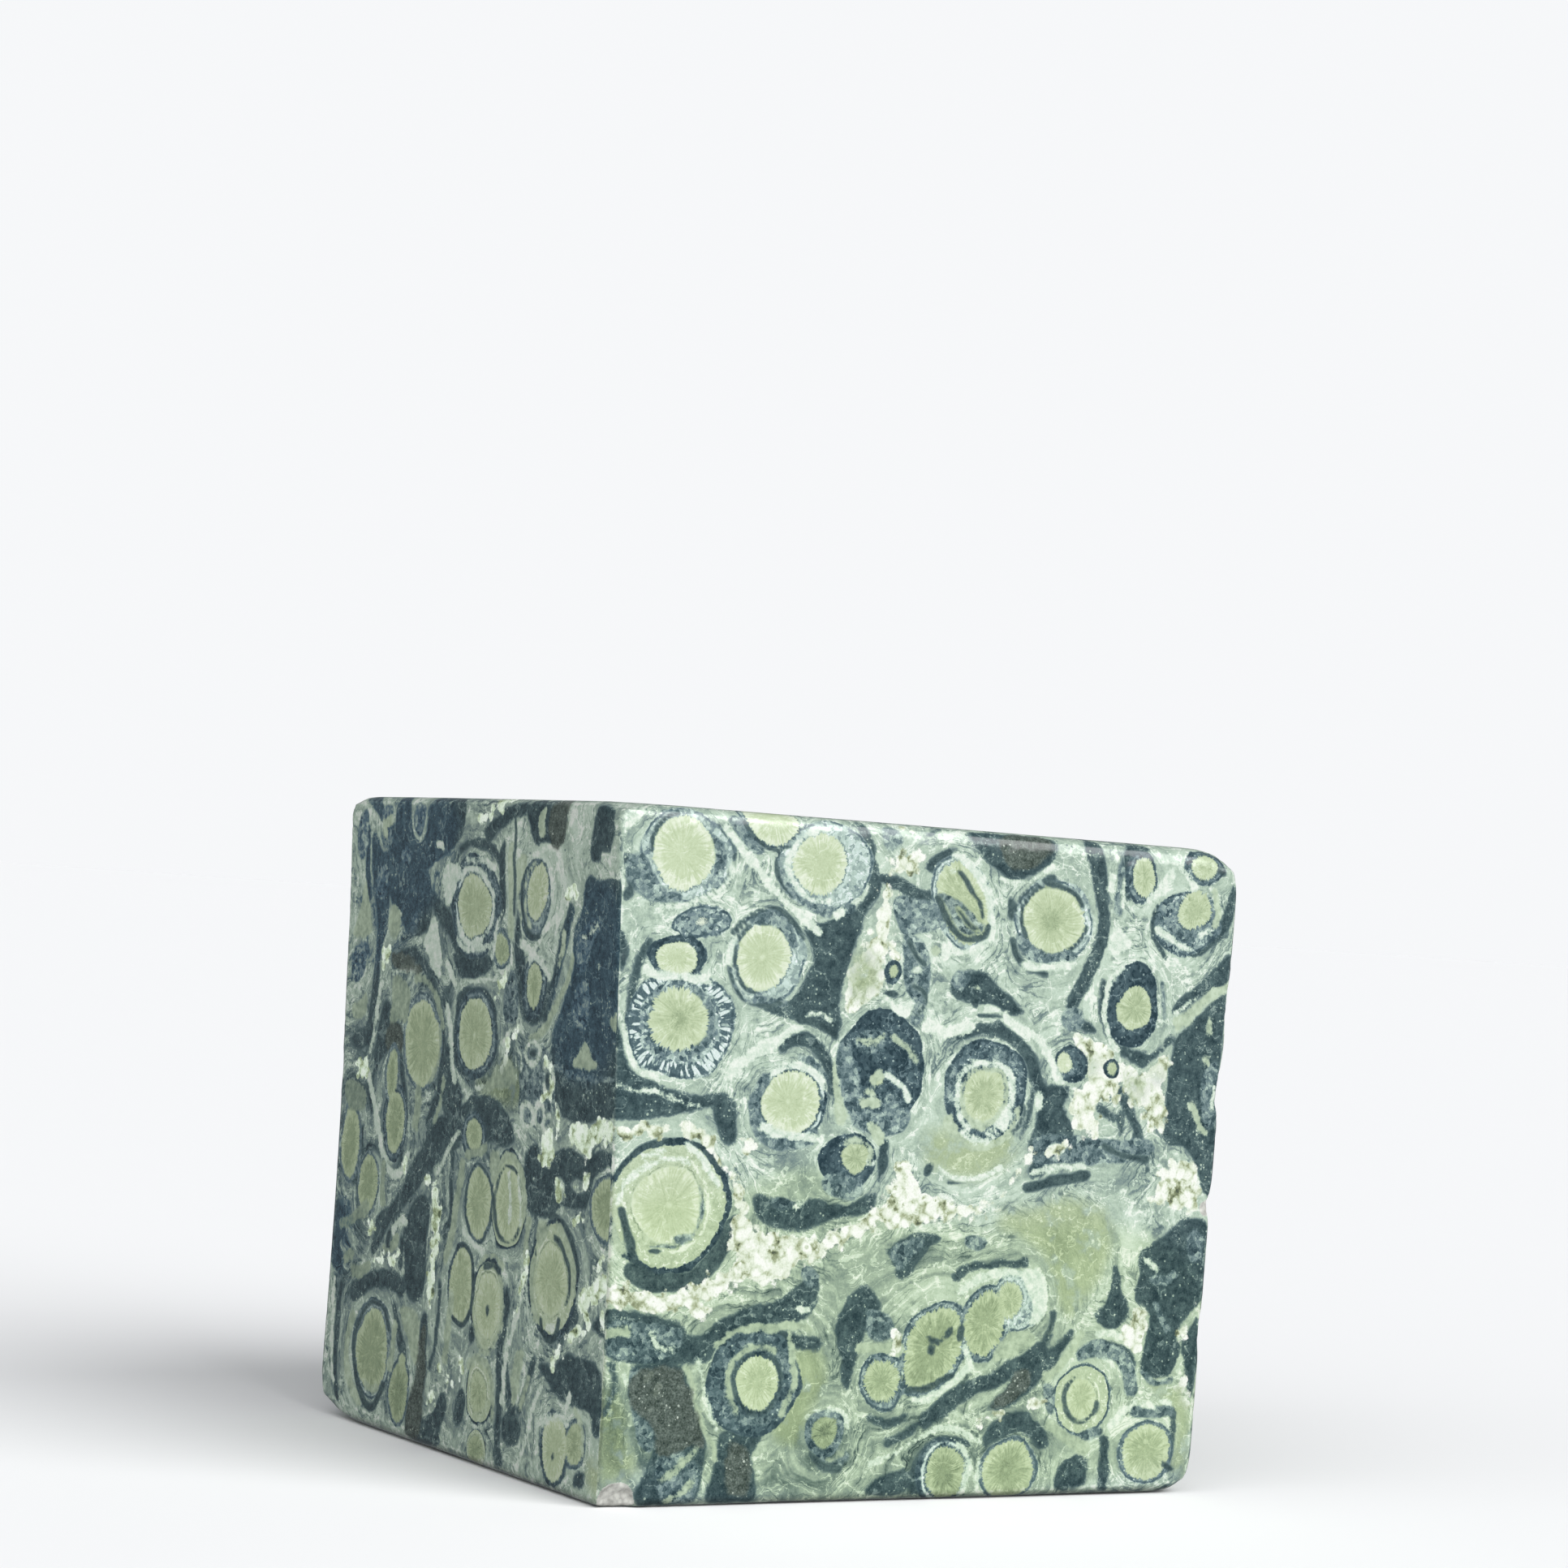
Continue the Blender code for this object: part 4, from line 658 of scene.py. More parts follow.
    patch("cream", (2.6, 4.3), (3.6, 4.7), (4.8, 3.9), (5.3, 2.4), (4.5, 3.1), (3.2, 3.4)),
    vein("cream", 0.5, (0.2, 5.7), (1.4, 6.3), (2.5, 6.3)),
    vein("cream", 0.7, (15.9, 16.4), (16.2, 16.0)),
    vein("cream", 0.6, (10.4, 21.8), (10.7, 21.2)),
    vein("cream", 0.8, (-1.2, 7.2), (-0.6, 6.8)),
    vein("cream", 0.6, (-5.8, 36.7), (-5.2, 36.4), (-4.6, 35.3)),
    vein("cream", 0.8, (-5.6, 50.0), (-3, 49.2), (-0.6, 48.5)),
    patch("grey", (-21.2, 41.6), (-19.6, 41.8), (-17.4, 40.8), (-16.9, 38.8), (-17.4, 37.6), (-18.8, 38.2), (-19.4, 39.6),
          (-20.6, 40.4)),
    patch("grey", (-19.4, 37.2), (-17.6, 37.4), (-16.8, 35.6), (-17, 33.8), (-19, 33.4), (-19.8, 35)),
    vein("grey", 0.4, (-24, 30.4), (-20, 30.3), (-16, 30.4), (-13.6, 30.6)),
    patch("mint", (-24.4, 35.2), (-23.2, 35.1), (-22.4, 34.4), (-23, 33.8), (-24.4, 33.7)),
    patch("mint", (-21.8, 31.1), (-20.2, 31.9), (-19.5, 32.6), (-18.8, 33.0), (-18.2, 32.1), (-16.4, 31.0), (-18.6, 30.9)),
    vein("pale", 0.35, (-20.9, 38.3), (-20.6, 38.0)),
    vein("pale", 0.25, (-20.6, 41.2), (-19.2, 40.5), (-18.2, 40.6)),
    patch("mint", (-12.6, 49.9), (-11.4, 49.8), (-10.8, 48.6), (-11.4, 47.2), (-12.4, 47.6), (-12, 48.6)),
    vein("pale", 0.4, (-14.4, 46.5), (-12.6, 46.8), (-11, 46.2), (-9.4, 46.3), (-7.4, 46.3)),
    vein("pale", 0.5, (-7.0, 48.2), (-6.4, 47.4)),
    vein("mint", 0.8, (-6.5, 46.6), (-6.4, 43), (-6.5, 40.2)),
    vein("ink", 0.25, (-6.9, 48.6), (-7.1, 45), (-6.9, 41.6)),
    vein("pale", 0.5, (-14.9, 42.1), (-13.2, 41.1), (-11.2, 39.7), (-9.9, 38.4)),
    vein("pale", 0.5, (-8.2, 39.6), (-9.6, 39.3), (-11.6, 38.2), (-13, 37.4)),
    vein("mint", 0.4, (-15.4, 40.6), (-14.9, 39), (-14.4, 38.2)),
    vein("mint", 0.6, (-16.5, 38.8), (-15.8, 37), (-14.8, 35.7), (-13.8, 34.6), (-12.9, 33.4), (-11.8, 32.8), (-10.2, 32.4)),
    patch("mint", (-9.2, 46.6), (-7.4, 46.4), (-7.2, 43), (-7.8, 40.9), (-8.4, 41.2), (-8.2, 43.4), (-8.8, 45)),
    arc("ink", 0.35, (-10.6, 42.9), (2.5, 2.9), -110, 60),
    arc("mint", 0.3, (-10.7, 43.1), (2.1, 2.6), -60, 80),
    patch("grey", (-8.4, 35.2), (-6.6, 38.2), (-5.8, 36), (-5.8, 33.4), (-8, 33.6)),
    vein("pale", 0.6, (-9, 33.4), (-7.6, 33.1), (-6.4, 32.4), (-5.6, 31.2), (-5.3, 29.8)),
    vein("mint", 0.7, (-5.4, 29.8), (-4.4, 28.7), (-2.8, 28.4)),
    patch("grey", (-14.6, 30.6), (-12.8, 32.0), (-9.6, 32.4), (-7.6, 31.2), (-8.8, 29.2), (-8.8, 26.4), (-11.6, 25.8),
          (-14.4, 26.6)),
    patch("ink", (-13.4, 30.2), (-12.7, 29.8), (-12.9, 28.8), (-13.6, 29.0)),
    patch("ink", (-11.7, 31.5), (-10.4, 31.7), (-10.0, 31.1), (-11.2, 30.9)),
    arc("pale", 0.35, (-13.3, 29.6), (0.8, 1.0), 40, 330),
    arc("pale", 0.3, (-10.8, 31.3), (1.3, 0.9), 0, 360),
    arc("pale", 0.3, (-11.9, 27.0), (0.7, 0.9), 0, 360),
    arc("pale", 0.3, (-13.4, 26.4), (0.9, 0.8), -160, 120),
    arc("pale", 0.25, (-8.3, 30.3), (0.6, 1.1), -60, 200),
    arc("pale", 0.35, (-10.1, 26.9), (0.95, 0.95), 0, 360),
    patch("mint", (-7.2, 30.4), (-5.8, 31.0), (-4.6, 29.8), (-2.8, 28.7), (-5, 28.3), (-8, 28.7), (-8.2, 29.4)),
    vein("pale", 0.25, (-3, 28.5), (-1.0, 28.3), (0.4, 27.2)),
    arc("pale", 0.35, (-0.2, 42.0), (3.3, 2.8), 40, 330),
    vein("pale", 0.4, (-3.6, 45.0), (-1.6, 45.6), (1.2, 45.2)),
    vein("pale", 0.3, (-5.0, 41.8), (-4.4, 40.7), (-3.9, 39.4), (-3.4, 38.3)),
    vein("pale", 0.25, (-3.6, 39.2), (-1.6, 38.9), (0.6, 38.7), (2.6, 39.4)),
    vein("pale", 0.3, (-6.6, 39.2), (-6.2, 37.6), (-5.0, 36.9), (-3, 36.6), (-0.5, 36.3), (1.4, 36.4)),
    patch("pale", (2.2, 44.6), (3.4, 45.2), (5.6, 45.1), (5.8, 44), (5.2, 42.8), (4.9, 41.6), (4, 41.7), (3.3, 43)),
    vein("pale", 0.45, (5.9, 46.6), (7, 46.8)),
    patch("grey", (8.8, 49.8), (11.2, 49.8), (11, 47.4), (9.4, 47.2)),
    patch("grey", (15, 49.8), (17.4, 49.6), (17.2, 46.8), (15.4, 46.4)),
    patch("grey", (20, 49.6), (22, 48.8), (22.4, 45), (20.4, 45)),
    vein("mint", 0.8, (15.6, 48.4), (17.0, 48.0), (16.6, 47.2)),
    patch("grey", (11.2, 45.6), (12.6, 46.4), (13.6, 45.6), (12.4, 44.6)),
    patch("grey", (9.8, 41.2), (11, 41.2), (11.6, 39.2), (9.8, 39.2)),
    vein("pale", 0.9, (13.8, 40.6), (14.2, 39.4)),
    patch("mint", (13.4, 41.4), (15.4, 41.8), (15.4, 39.2), (13.2, 38.6)),
    patch("grey", (15.4, 44.8), (17.8, 44.8), (18.4, 42.2), (16.2, 42)),
    patch("mint", (18.4, 38.8), (19.3, 41.4), (20.3, 43.8), (20.9, 42.2), (21.8, 40), (22.4, 38.6)),
    patch("grey", (18.6, 38.4), (22.4, 38.2), (22.6, 35), (20, 35.6)),
    patch("pale", (5.4, 38), (6.4, 40.4), (7.4, 41.2), (7.9, 39.6), (8.8, 38.9), (7.8, 37.7), (6.0, 36.1), (5.4, 36.5)),
    vein("pale", 0.6, (3, 36), (4.4, 37.6)),
    vein("mint", 0.55, (5.1, 32.6), (5.6, 34.2), (6.7, 35.3), (8.2, 35.8), (9.8, 35.8)),
    vein("pale", 0.3, (9.6, 36.5), (12, 36.8), (14.2, 36.2)),
    patch("mint", (10.6, 34.2), (11.4, 35.9), (13, 36.4), (14.2, 35.8), (14.2, 33.8), (15, 32.6), (14.4, 31.9), (12.8, 32.5),
          (11.4, 32.2)),
    arc("mint", 0.35, (8.5, 31.0), (3.25, 3.35), 160, 240),
    vein("pale", 0.55, (4.2, 34), (3.6, 32), (2.9, 29.6), (2.4, 28.5)),
    vein("mint", 0.5, (4.2, 28.4), (4.8, 26.4), (5.4, 24.8)),
    vein("pale", 0.4, (16.3, 35.4), (16.9, 33.4), (17.6, 31.4), (18.2, 29.8)),
    vein("pale", 0.7, (17.9, 27.6), (16.8, 26), (16.0, 24), (15.2, 22.6), (14.4, 21.4), (12.8, 20.3), (10.9, 20.7), (9.9, 21.9)),
    vein("mint", 0.8, (14.4, 21), (14.6, 19), (14.2, 18)),
    patch("mint", (19, 34.6), (20.4, 33.8), (22.2, 33.4), (21.6, 32), (19.8, 32), (18.6, 33.2)),
    patch("mint", (18.2, 27), (22.6, 27.4), (22.6, 25), (18.4, 24.6)),
    vein("mint", 1.0, (8.6, 27.4), (8.4, 26), (8.8, 24.6)),
    vein("mint", 0.9, (0.2, 22.2), (0.7, 19.6), (1.6, 17), (2.6, 14.8)),
    vein("ink", 0.35, (0.9, 23.6), (2.2, 23.2), (3.8, 22), (4.4, 21)),
    vein("pale", 0.4, (1.2, 24.6), (2.8, 23), (4.4, 21.4)),
    vein("pale", 0.5, (9.6, 16.9), (11, 16.8), (12.2, 16.0), (12.8, 15.2)),
    vein("mint", 0.8, (11.4, 15.4), (12.2, 14.6), (13.4, 14.2)),
    vein("ink", 0.6, (12.7, 15.5), (13.0, 14.8)),
    vein("mint", 0.8, (17, 17.4), (19, 16.2), (21.4, 15.5)),
    vein("mint", 0.9, (19.3, 13.2), (20.2, 12.8)),
    vein("mint", 0.9, (16.2, 12.8), (17.6, 12.0), (18.8, 11.9)),
    patch("mint", (6, 10.4), (10.3, 10.8), (8.6, 8.6), (7.4, 6.2), (6.2, 6.0), (6.4, 8.4)),
    vein("mint", 0.8, (10.3, 8.8), (10.6, 7), (10.9, 5.4)),
    arc("mint", 0.9, (14.4, 5.9), (4.5, 4.0), -70, 40),
    arc("ink", 0.3, (14.3, 6.3), (3.2, 3.6), -40, 150),
    vein("ink", 0.6, (11.8, 3.8), (12.8, 2.4), (14.2, 1.7), (15.8, 2.5), (16.8, 4)),
    vein("mint", 0.5, (12.8, 3.5), (13.8, 3.3), (15, 3.4)),
    vein("pale", 0.35, (21.9, 11), (22.2, 8), (21.8, 5), (20.9, 3)),
    vein("mint", 0.9, (1, 12), (1.2, 9.6), (1.6, 7.4)),
    arc("mint", 0.75, (-15.1, 15.2), (3.75, 4.1), 100, 190),
    arc("ink", 0.35, (-15.1, 15.2), (3.0, 3.1), 95, 210),
    arc("ink", 0.3, (-15.1, 15.2), (4.2, 4.6), 80, 170),
    arc("mint", 0.7, (-15.1, 15.0), (3.3, 3.6), -50, 20),
    patch("mint", (-14.4, 19.4), (-12.4, 19.4), (-11.9, 18), (-13.2, 17.5), (-14.6, 18.6)),
    vein("ink", 0.2, (-12.4, 19.4), (-12, 18.2), (-12.2, 16.8)),
    vein("ink", 0.4, (-16.7, 12.4), (-16.4, 11.2), (-15, 10.6), (-13.9, 11.1), (-13.6, 12.2)),
    vein("pale", 0.5, (-15.7, 11.7), (-14.6, 11.6)),
    vein("mint", 0.7, (-11, 19.2), (-10.6, 17.4), (-10.7, 16.4)),
    arc("mint", 0.5, (-7.7, 20.3), (2.55, 3.5), 30, 200),
    arc("ink", 0.25, (-7.6, 20.0), (2.25, 2.95), -150, 150),
    vein("pale", 0.3, (-7.5, 22.4), (-7.9, 20.6), (-7.8, 18.6)),
    vein("pale", 0.3, (-9.1, 22.2), (-9.6, 20.2), (-9.6, 18.6)),
    arc("ink", 0.2, (-2.8, 19.6), (2.2, 2.85), 0, 360),
    patch("mint", (-5.9, 24), (-4, 23.8), (-4.4, 21.8), (-5, 20.8), (-5.6, 22.2)),
    vein("mint", 0.6, (-3.4, 23.8), (-1.6, 23.2), (-0.4, 22.8)),
    vein("pale", 0.4, (-3.4, 16.1), (-2, 16.8), (-0.4, 17.3)),
    vein("mint", 0.35, (-7.4, 15.2), (-6, 16.1), (-4.4, 15.9), (-3.4, 15)),
    arc("mint", 0.35, (-5.3, 12.0), (2.55, 3.4), 100, 330),
    patch("ink", (-5.5, 12.3), (-5.1, 12.4), (-4.8, 12.0), (-4.9, 11.4), (-5.2, 11.3), (-5.5, 11.8)),
    vein("ink", 0.4, (-6.9, 14.9), (-5.6, 15.5), (-4.3, 15.0)),
    arc("ink", 0.35, (-0.6, 13.1), (2.3, 3.2), 60, 300),
    vein("pale", 0.45, (-9.9, 12.2), (-9.2, 10.2), (-8.6, 8.2), (-8.3, 5.6)),
    patch("mint", (-11.6, 9.9), (-10.2, 9.5), (-9.6, 7.2), (-9.8, 5.2), (-10.6, 5.6), (-11.2, 7.8)),
    vein("mint", 0.5, (-12.4, 7.6), (-11.8, 6.2), (-11.3, 5.2)),
    vein("pale", 0.35, (-14.7, 8), (-13.7, 6.2), (-12.8, 4.2), (-11.8, 2.2), (-11.2, 1)),
    vein("mint", 0.5, (-6.8, 4), (-6.7, 6.6), (-5.8, 7.9), (-3.8, 8.0), (-2.6, 7.2)),
    vein("pale", 0.3, (-5.2, 3), (-4.4, 2.6), (-3.8, 2.8)),
    vein("mint", 0.35, (-21.2, 3.4), (-21.1, 5.0), (-20.4, 5.9), (-19.6, 6.3)),
    vein("pale", 0.45, (-18.6, 5.2), (-17.4, 5.7), (-15.9, 5.5), (-14.9, 4.7)),
    vein("pale", 0.45, (-18.6, 7.2), (-18.2, 6.4)),
    patch("ink", (-17.2, 2.9), (-16.8, 3.2), (-16.5, 2.7), (-16.9, 2.3)),
]

# Raw chips: middle and half sizes. The first is the white one at the foot of the front upright edge
CHIPS = [
    ((-24.6, -23.9, 0.35), (1.75, 1.3, 1.45)),
    ((26.6, -23.7, 22.4), (0.8, 0.9, 0.8)),
    ((27.3, 23.6, 14.0), (0.9, 0.9, 1.8)),
    ((27.0, 8.0, 0.2), (0.9, 2.0, 0.8)),
    ((-6.0, 23.7, 50.2), (2.2, 0.8, 0.7)),
    ((27.8, 12.5, 50.2), (0.8, 1.3, 0.7)),
]


# Skin

def crowd(share):
    """Moves a grid line's place, -1 to 1 along a side, so that the lines lie closer at the edges."""
    away = 1.0 - np.abs(share)
    pull = EDGE_CROWDING * CROWDED_SHARE
    bent = (away - pull * (1 - np.exp(-away / CROWDED_SHARE))) / (1 - pull)
    return np.sign(share) * (1.0 - bent)


def cube_grid():
    """A gridded cube from -1 to 1, finer on the two faces that the pattern is drawn on."""
    bm = bmesh.new()
    bmesh.ops.create_cube(bm, size=2.0)
    for axis in (X, Y, Z):
        along = [e for e in bm.edges if abs(e.verts[0].co[axis] - e.verts[1].co[axis]) > 1e-6]
        bmesh.ops.subdivide_edges(bm, edges=along, cuts=CELLS[axis] - 1, use_grid_fill=True)
    drawn = [e for e in bm.edges if any(all(v.co[a] < -0.9999 for v in e.verts) for a in (X, Y))]
    bmesh.ops.subdivide_edges(bm, edges=drawn, cuts=1, use_grid_fill=True)
    bmesh.ops.recalc_face_normals(bm, faces=bm.faces[:])
    mesh = bpy.data.meshes.new("jasper_skin")
    bm.to_mesh(mesh)
    bm.free()
    return mesh


def solid_surface():
    """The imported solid, for finding points on its surface, in millimetres."""
    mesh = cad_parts["jasper_cube"].data
    points = [v.co / MM for v in mesh.vertices]
    return BVHTree.FromPolygons(points, [tuple(p.vertices) for p in mesh.polygons])


def solid_corners():
    """The solid's eight corners, by the signs of their sides."""
    points = np.array([v.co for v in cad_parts["jasper_cube"].data.vertices]) / MM
    corners = {}
    for sx in (-1, 1):
        for sy in (-1, 1):
            for sz in (-1, 1):
                reach = (points - MIDDLE) / SIZE @ np.array((sx, sy, sz))
                corners[sx, sy, sz] = points[np.argmax(reach)]
    return corners


def between_corners(share, corners):
    """Points at these shares, -1 to 1, between the solid's corners."""
    total = np.zeros_like(share)
    for signs, corner in corners.items():
        weight = np.prod((1 + share * np.array(signs)) / 2, axis=1)
        total += weight[:, None] * corner
    return total


def lay_on_solid(share, surface):
    """Grid points carried outwards onto the solid's surface."""
    corners = solid_corners()
    aim = between_corners(share, corners)
    start = between_corners(np.clip(share, FAN_SHARE - 1, 1 - FAN_SHARE), corners)
    points = np.empty_like(aim)
    for n, (a, b) in enumerate(zip(start, aim)):
        hit = surface.ray_cast(Vector(a), Vector(b - a).normalized())[0]
        points[n] = hit if hit else surface.find_nearest(Vector(b))[0]
    return points


def smooth_points(points, mesh, rounds):
    """Evens out the facets of the solid's rounded edges."""
    edges = np.array([e.vertices[:] for e in mesh.edges])
    count = np.bincount(edges.ravel(), minlength=len(points))[:, None]
    for _ in range(rounds):
        total = np.zeros_like(points)
        np.add.at(total, edges[:, 0], points[edges[:, 1]])
        np.add.at(total, edges[:, 1], points[edges[:, 0]])
        points = points * 0.5 + total / count * 0.5
    return points


# Working out the pattern

def soft_step(value, low, high):
    """0 below low, 1 above high, and smooth between."""
    share = np.clip((value - low) / (high - low), 0.0, 1.0)
    return share * share * (3.0 - 2.0 * share)


def ellipsoid_gap(local, radii):
    """How far outside an ellipsoid each point is, negative inside."""
    scaled = local / radii
    size = np.linalg.norm(scaled, axis=1) + 1e-6
    slope = np.linalg.norm(scaled / radii, axis=1) + 1e-6
    return size * (size - 1.0) / slope


def rounded(path, closed):
    """Cuts the corners of a listed path twice, which makes it a smooth one."""
    path = np.array(path, float)
    for _ in range(2):
        after = np.roll(path, -1, axis=0) if closed else path[1:]
        before = path if closed else path[:-1]
        cut = np.stack((before * 0.75 + after * 0.25, before * 0.25 + after * 0.75), axis=1).reshape(-1, 2)
        path = cut if closed else np.vstack((path[:1], cut, path[-1:]))
    return path


def shape_depth(places, width, path):
    """How deep inside a patch or vein each place on the face is, negative outside."""
    closed = width is None
    path = rounded(path, closed)
    ends = np.roll(path, -1, axis=0) if closed else path[1:]
    starts = path if closed else path[:-1]
    gap = np.full(len(places), 1e9)
    inside = np.zeros(len(places), bool)
    for a, b in zip(starts, ends):
        side = b - a
        share = np.clip((places - a) @ side / (side @ side + 1e-12), 0.0, 1.0)
        gap = np.minimum(gap, np.linalg.norm(places - a - share[:, None] * side, axis=1))
        if closed and a[1] != b[1]:
            crosses = (a[1] > places[:, 1]) != (b[1] > places[:, 1])
            inside ^= crosses & (places[:, 0] < a[0] + (places[:, 1] - a[1]) * side[0] / side[1])
    if closed:
        return np.where(inside, gap, -gap)
    return width / 2 + SKIN_BLUR - gap


# Two layers of firm kinds, below and above the eyes. A later shape cuts the earlier ones of its own layer
BELOW_EYES = ("slate", "cream")
ABOVE_EYES = ("grey", "mint", "pale", "ink")
FIRM_KINDS = BELOW_EYES + ABOVE_EYES
SKIN_BLUR = 0.07  # what a thin vein loses between the skin's points
TINTS = ("olive", "brown", "bright", "dim_and_shade", "moss", "blue_reflection", "painted_seam_light")
SHAPE_RANGE = 1.6


def draw_shapes(shapes, places, taper):
    """Depth inside each firm kind and strength of each tint, at places on a face. taper shrinks the shapes."""
    zones = {kind: np.full(len(places), -SHAPE_RANGE) for kind in FIRM_KINDS}
    tints = {kind: np.zeros(len(places)) for kind in TINTS}
    for kind, width, path in shapes:
        margin = SHAPE_RANGE + (width or 0)
        low = np.min(path, axis=0) - margin
        high = np.max(path, axis=0) + margin
        near = np.flatnonzero(np.all((places > low) & (places < high), axis=1))
        depth = shape_depth(places[near], width, path) - taper[near]
        if kind in TINTS:
            tints[kind][near] += soft_step(depth, -1.0, 1.0)
            continue
        zones[kind][near] = np.maximum(zones[kind][near], depth)
        for other in BELOW_EYES if kind in BELOW_EYES else ABOVE_EYES:
            if other != kind:
                zones[other][near] = np.minimum(zones[other][near], -depth)
    for kind in zones:
        zones[kind] = np.clip(zones[kind], -SHAPE_RANGE, SHAPE_RANGE)
    return zones, tints


def face_point(surface, face, u, v):
    """The point of the stone's surface at a face's own coordinates."""
    axis, side = face
    across = [a for a in (X, Y, Z) if a != axis]
    start = Vector(MIDDLE)
    start[across[0]] = u
    start[across[1]] = v
    direction = Vector((0, 0, 0))
    direction[axis] = side
    hit = surface.ray_cast(start, direction)[0]
    if hit:
        return np.array(hit)
    start[axis] = LOW[axis] if side < 0 else HIGH[axis]
    return np.array(start)


def place_eye(mark, face, surface):
    """An eye as a pair of ellipsoids in the stone."""
    axis = face[0]
    across = [a for a in (X, Y, Z) if a != axis]
    turn = math.radians(mark["turn"])
    axes = np.zeros((3, 3))
    axes[across[0], 0] = math.cos(turn)
    axes[across[1], 0] = math.sin(turn)
    axes[across[0], 1] = -math.sin(turn)
    axes[across[1], 1] = math.cos(turn)
    axes[axis, 2] = 1.0
    shift = np.zeros(3)
    shift[across[0]], shift[across[1]] = mark["shift"]
    slate, crystals, rings, collar = LOOKS[mark["look"]]
    return {
        "face": face,
        "middle": face_point(surface, face, *mark["at"]),
        "axes": axes,
        "shift": shift,
        "core": np.array((*mark["core"], sum(mark["core"]) / 2)),
        "halo": np.array((*mark["halo"], sum(mark["halo"]) / 2)),
        "halo_look": (slate, crystals, rings),
        "core_look": (mark["tone"], mark["spot"], collar),
    }


FRONT = (Y, -1)
LEFT = (X, -1)
OTHER_FACES = ((X, 1), (Y, 1), (Z, -1), (Z, 1))


def wild_eyes(surface, drawn):
    """Eyes for the sides that are not drawn, from large to small, where there is still room."""
    rng = random.Random(WILD_SEED)
    eyes = []
    for attempt in range(WILD_TRIES):
        largest, smallest = WILD_CORE
        radius = largest + (smallest - largest) * math.sqrt(attempt / WILD_TRIES) * rng.uniform(0.8, 1.0)
        axis, side = rng.choice(OTHER_FACES)
        across = [a for a in (X, Y, Z) if a != axis]
        u, v = (rng.uniform(LOW[a], HIGH[a]) for a in across)
        core = (radius * rng.uniform(0.85, 1.15), radius * rng.uniform(0.85, 1.15))
        width = rng.uniform(0.5, 1.5) * (0.5 + radius / 4)
        halo = (core[0] + width, core[1] + width)
        reach = max(halo)
        sly = width * 0.45
        mark = eye(u, v, core, halo, (rng.uniform(-sly, sly), rng.uniform(-sly, sly)), rng.uniform(0, 180),
                   rng.choice(list(LOOKS)), rng.uniform(0.42, 0.76), rng.choice((0, 0, 0, 0.5, 0.9)))
        placed = place_eye(mark, (axis, side), surface)
        middle = placed["middle"]
        if middle[Y] - LOW[Y] < reach + 0.6 or middle[X] - LOW[X] < reach + 2.6:
            continue
        if all(
            np.linalg.norm(middle - other["middle"]) > WILD_CLOSENESS * (reach + max(other["halo"][:2]))
            for other in drawn + eyes
        ):
            eyes.append(placed)
    return eyes


def eye_fields(points, eyes, on_front, on_left):
    """For each point, the eye that it belongs to: gaps to its core and halo, the ray from its middle, and its looks.

    The two drawn faces show only their own eyes.
    """
    best = np.full(len(points), 1e9)
    core_gap = np.zeros(len(points))
    halo_gap = np.zeros(len(points))
    ray = np.zeros((len(points), 3))
    halo_look = np.zeros((len(points), 3))
    core_look = np.zeros((len(points), 3))
    for mark in eyes:
        away = points - mark["middle"]
        local = away @ mark["axes"]
        core = ellipsoid_gap(local, mark["core"])
        halo = ellipsoid_gap((away - mark["shift"]) @ mark["axes"], mark["halo"])
        score = halo + 0.6 * core
        if mark["face"] == LEFT:
            score[on_front] = 1e9
        if mark["face"] == FRONT:
            score[on_left] = 1e9
        wins = score < best
        best[wins] = score[wins]
        core_gap[wins] = core[wins]
        halo_gap[wins] = halo[wins]
        ray[wins] = away[wins] / mark["core"].mean()
        halo_look[wins] = mark["halo_look"]
        core_look[wins] = mark["core_look"]
    return core_gap, halo_gap, ray, halo_look, core_look


def put_values(mesh, name, values):
    """Stores one number or vector for each point of the skin."""
    values = np.asarray(values, np.float32)
    if values.ndim == 1:
        mesh.attributes.new(name, "FLOAT", "POINT").data.foreach_set("value", values)
    else:
        mesh.attributes.new(name, "FLOAT_VECTOR", "POINT").data.foreach_set("vector", values.ravel())


def wandering(points):
    """The points moved about a little, so that nothing drawn from them is quite round or straight."""
    moved = np.empty_like(points)
    inside = np.minimum(points[:, X] - LOW[X] - 2.6, points[:, Y] - LOW[Y])
    reach = 1 + WILD_LOOSENESS * soft_step(inside, 0.0, 2 * DRAWN_REACH)
    for n, point in enumerate(points):
        place = Vector(point)
        drift = noise.noise_vector(place * 0.28) * 0.4 + noise.noise_vector(place * 0.8) * 0.15
        moved[n] = place + drift * reach[n]
    return moved


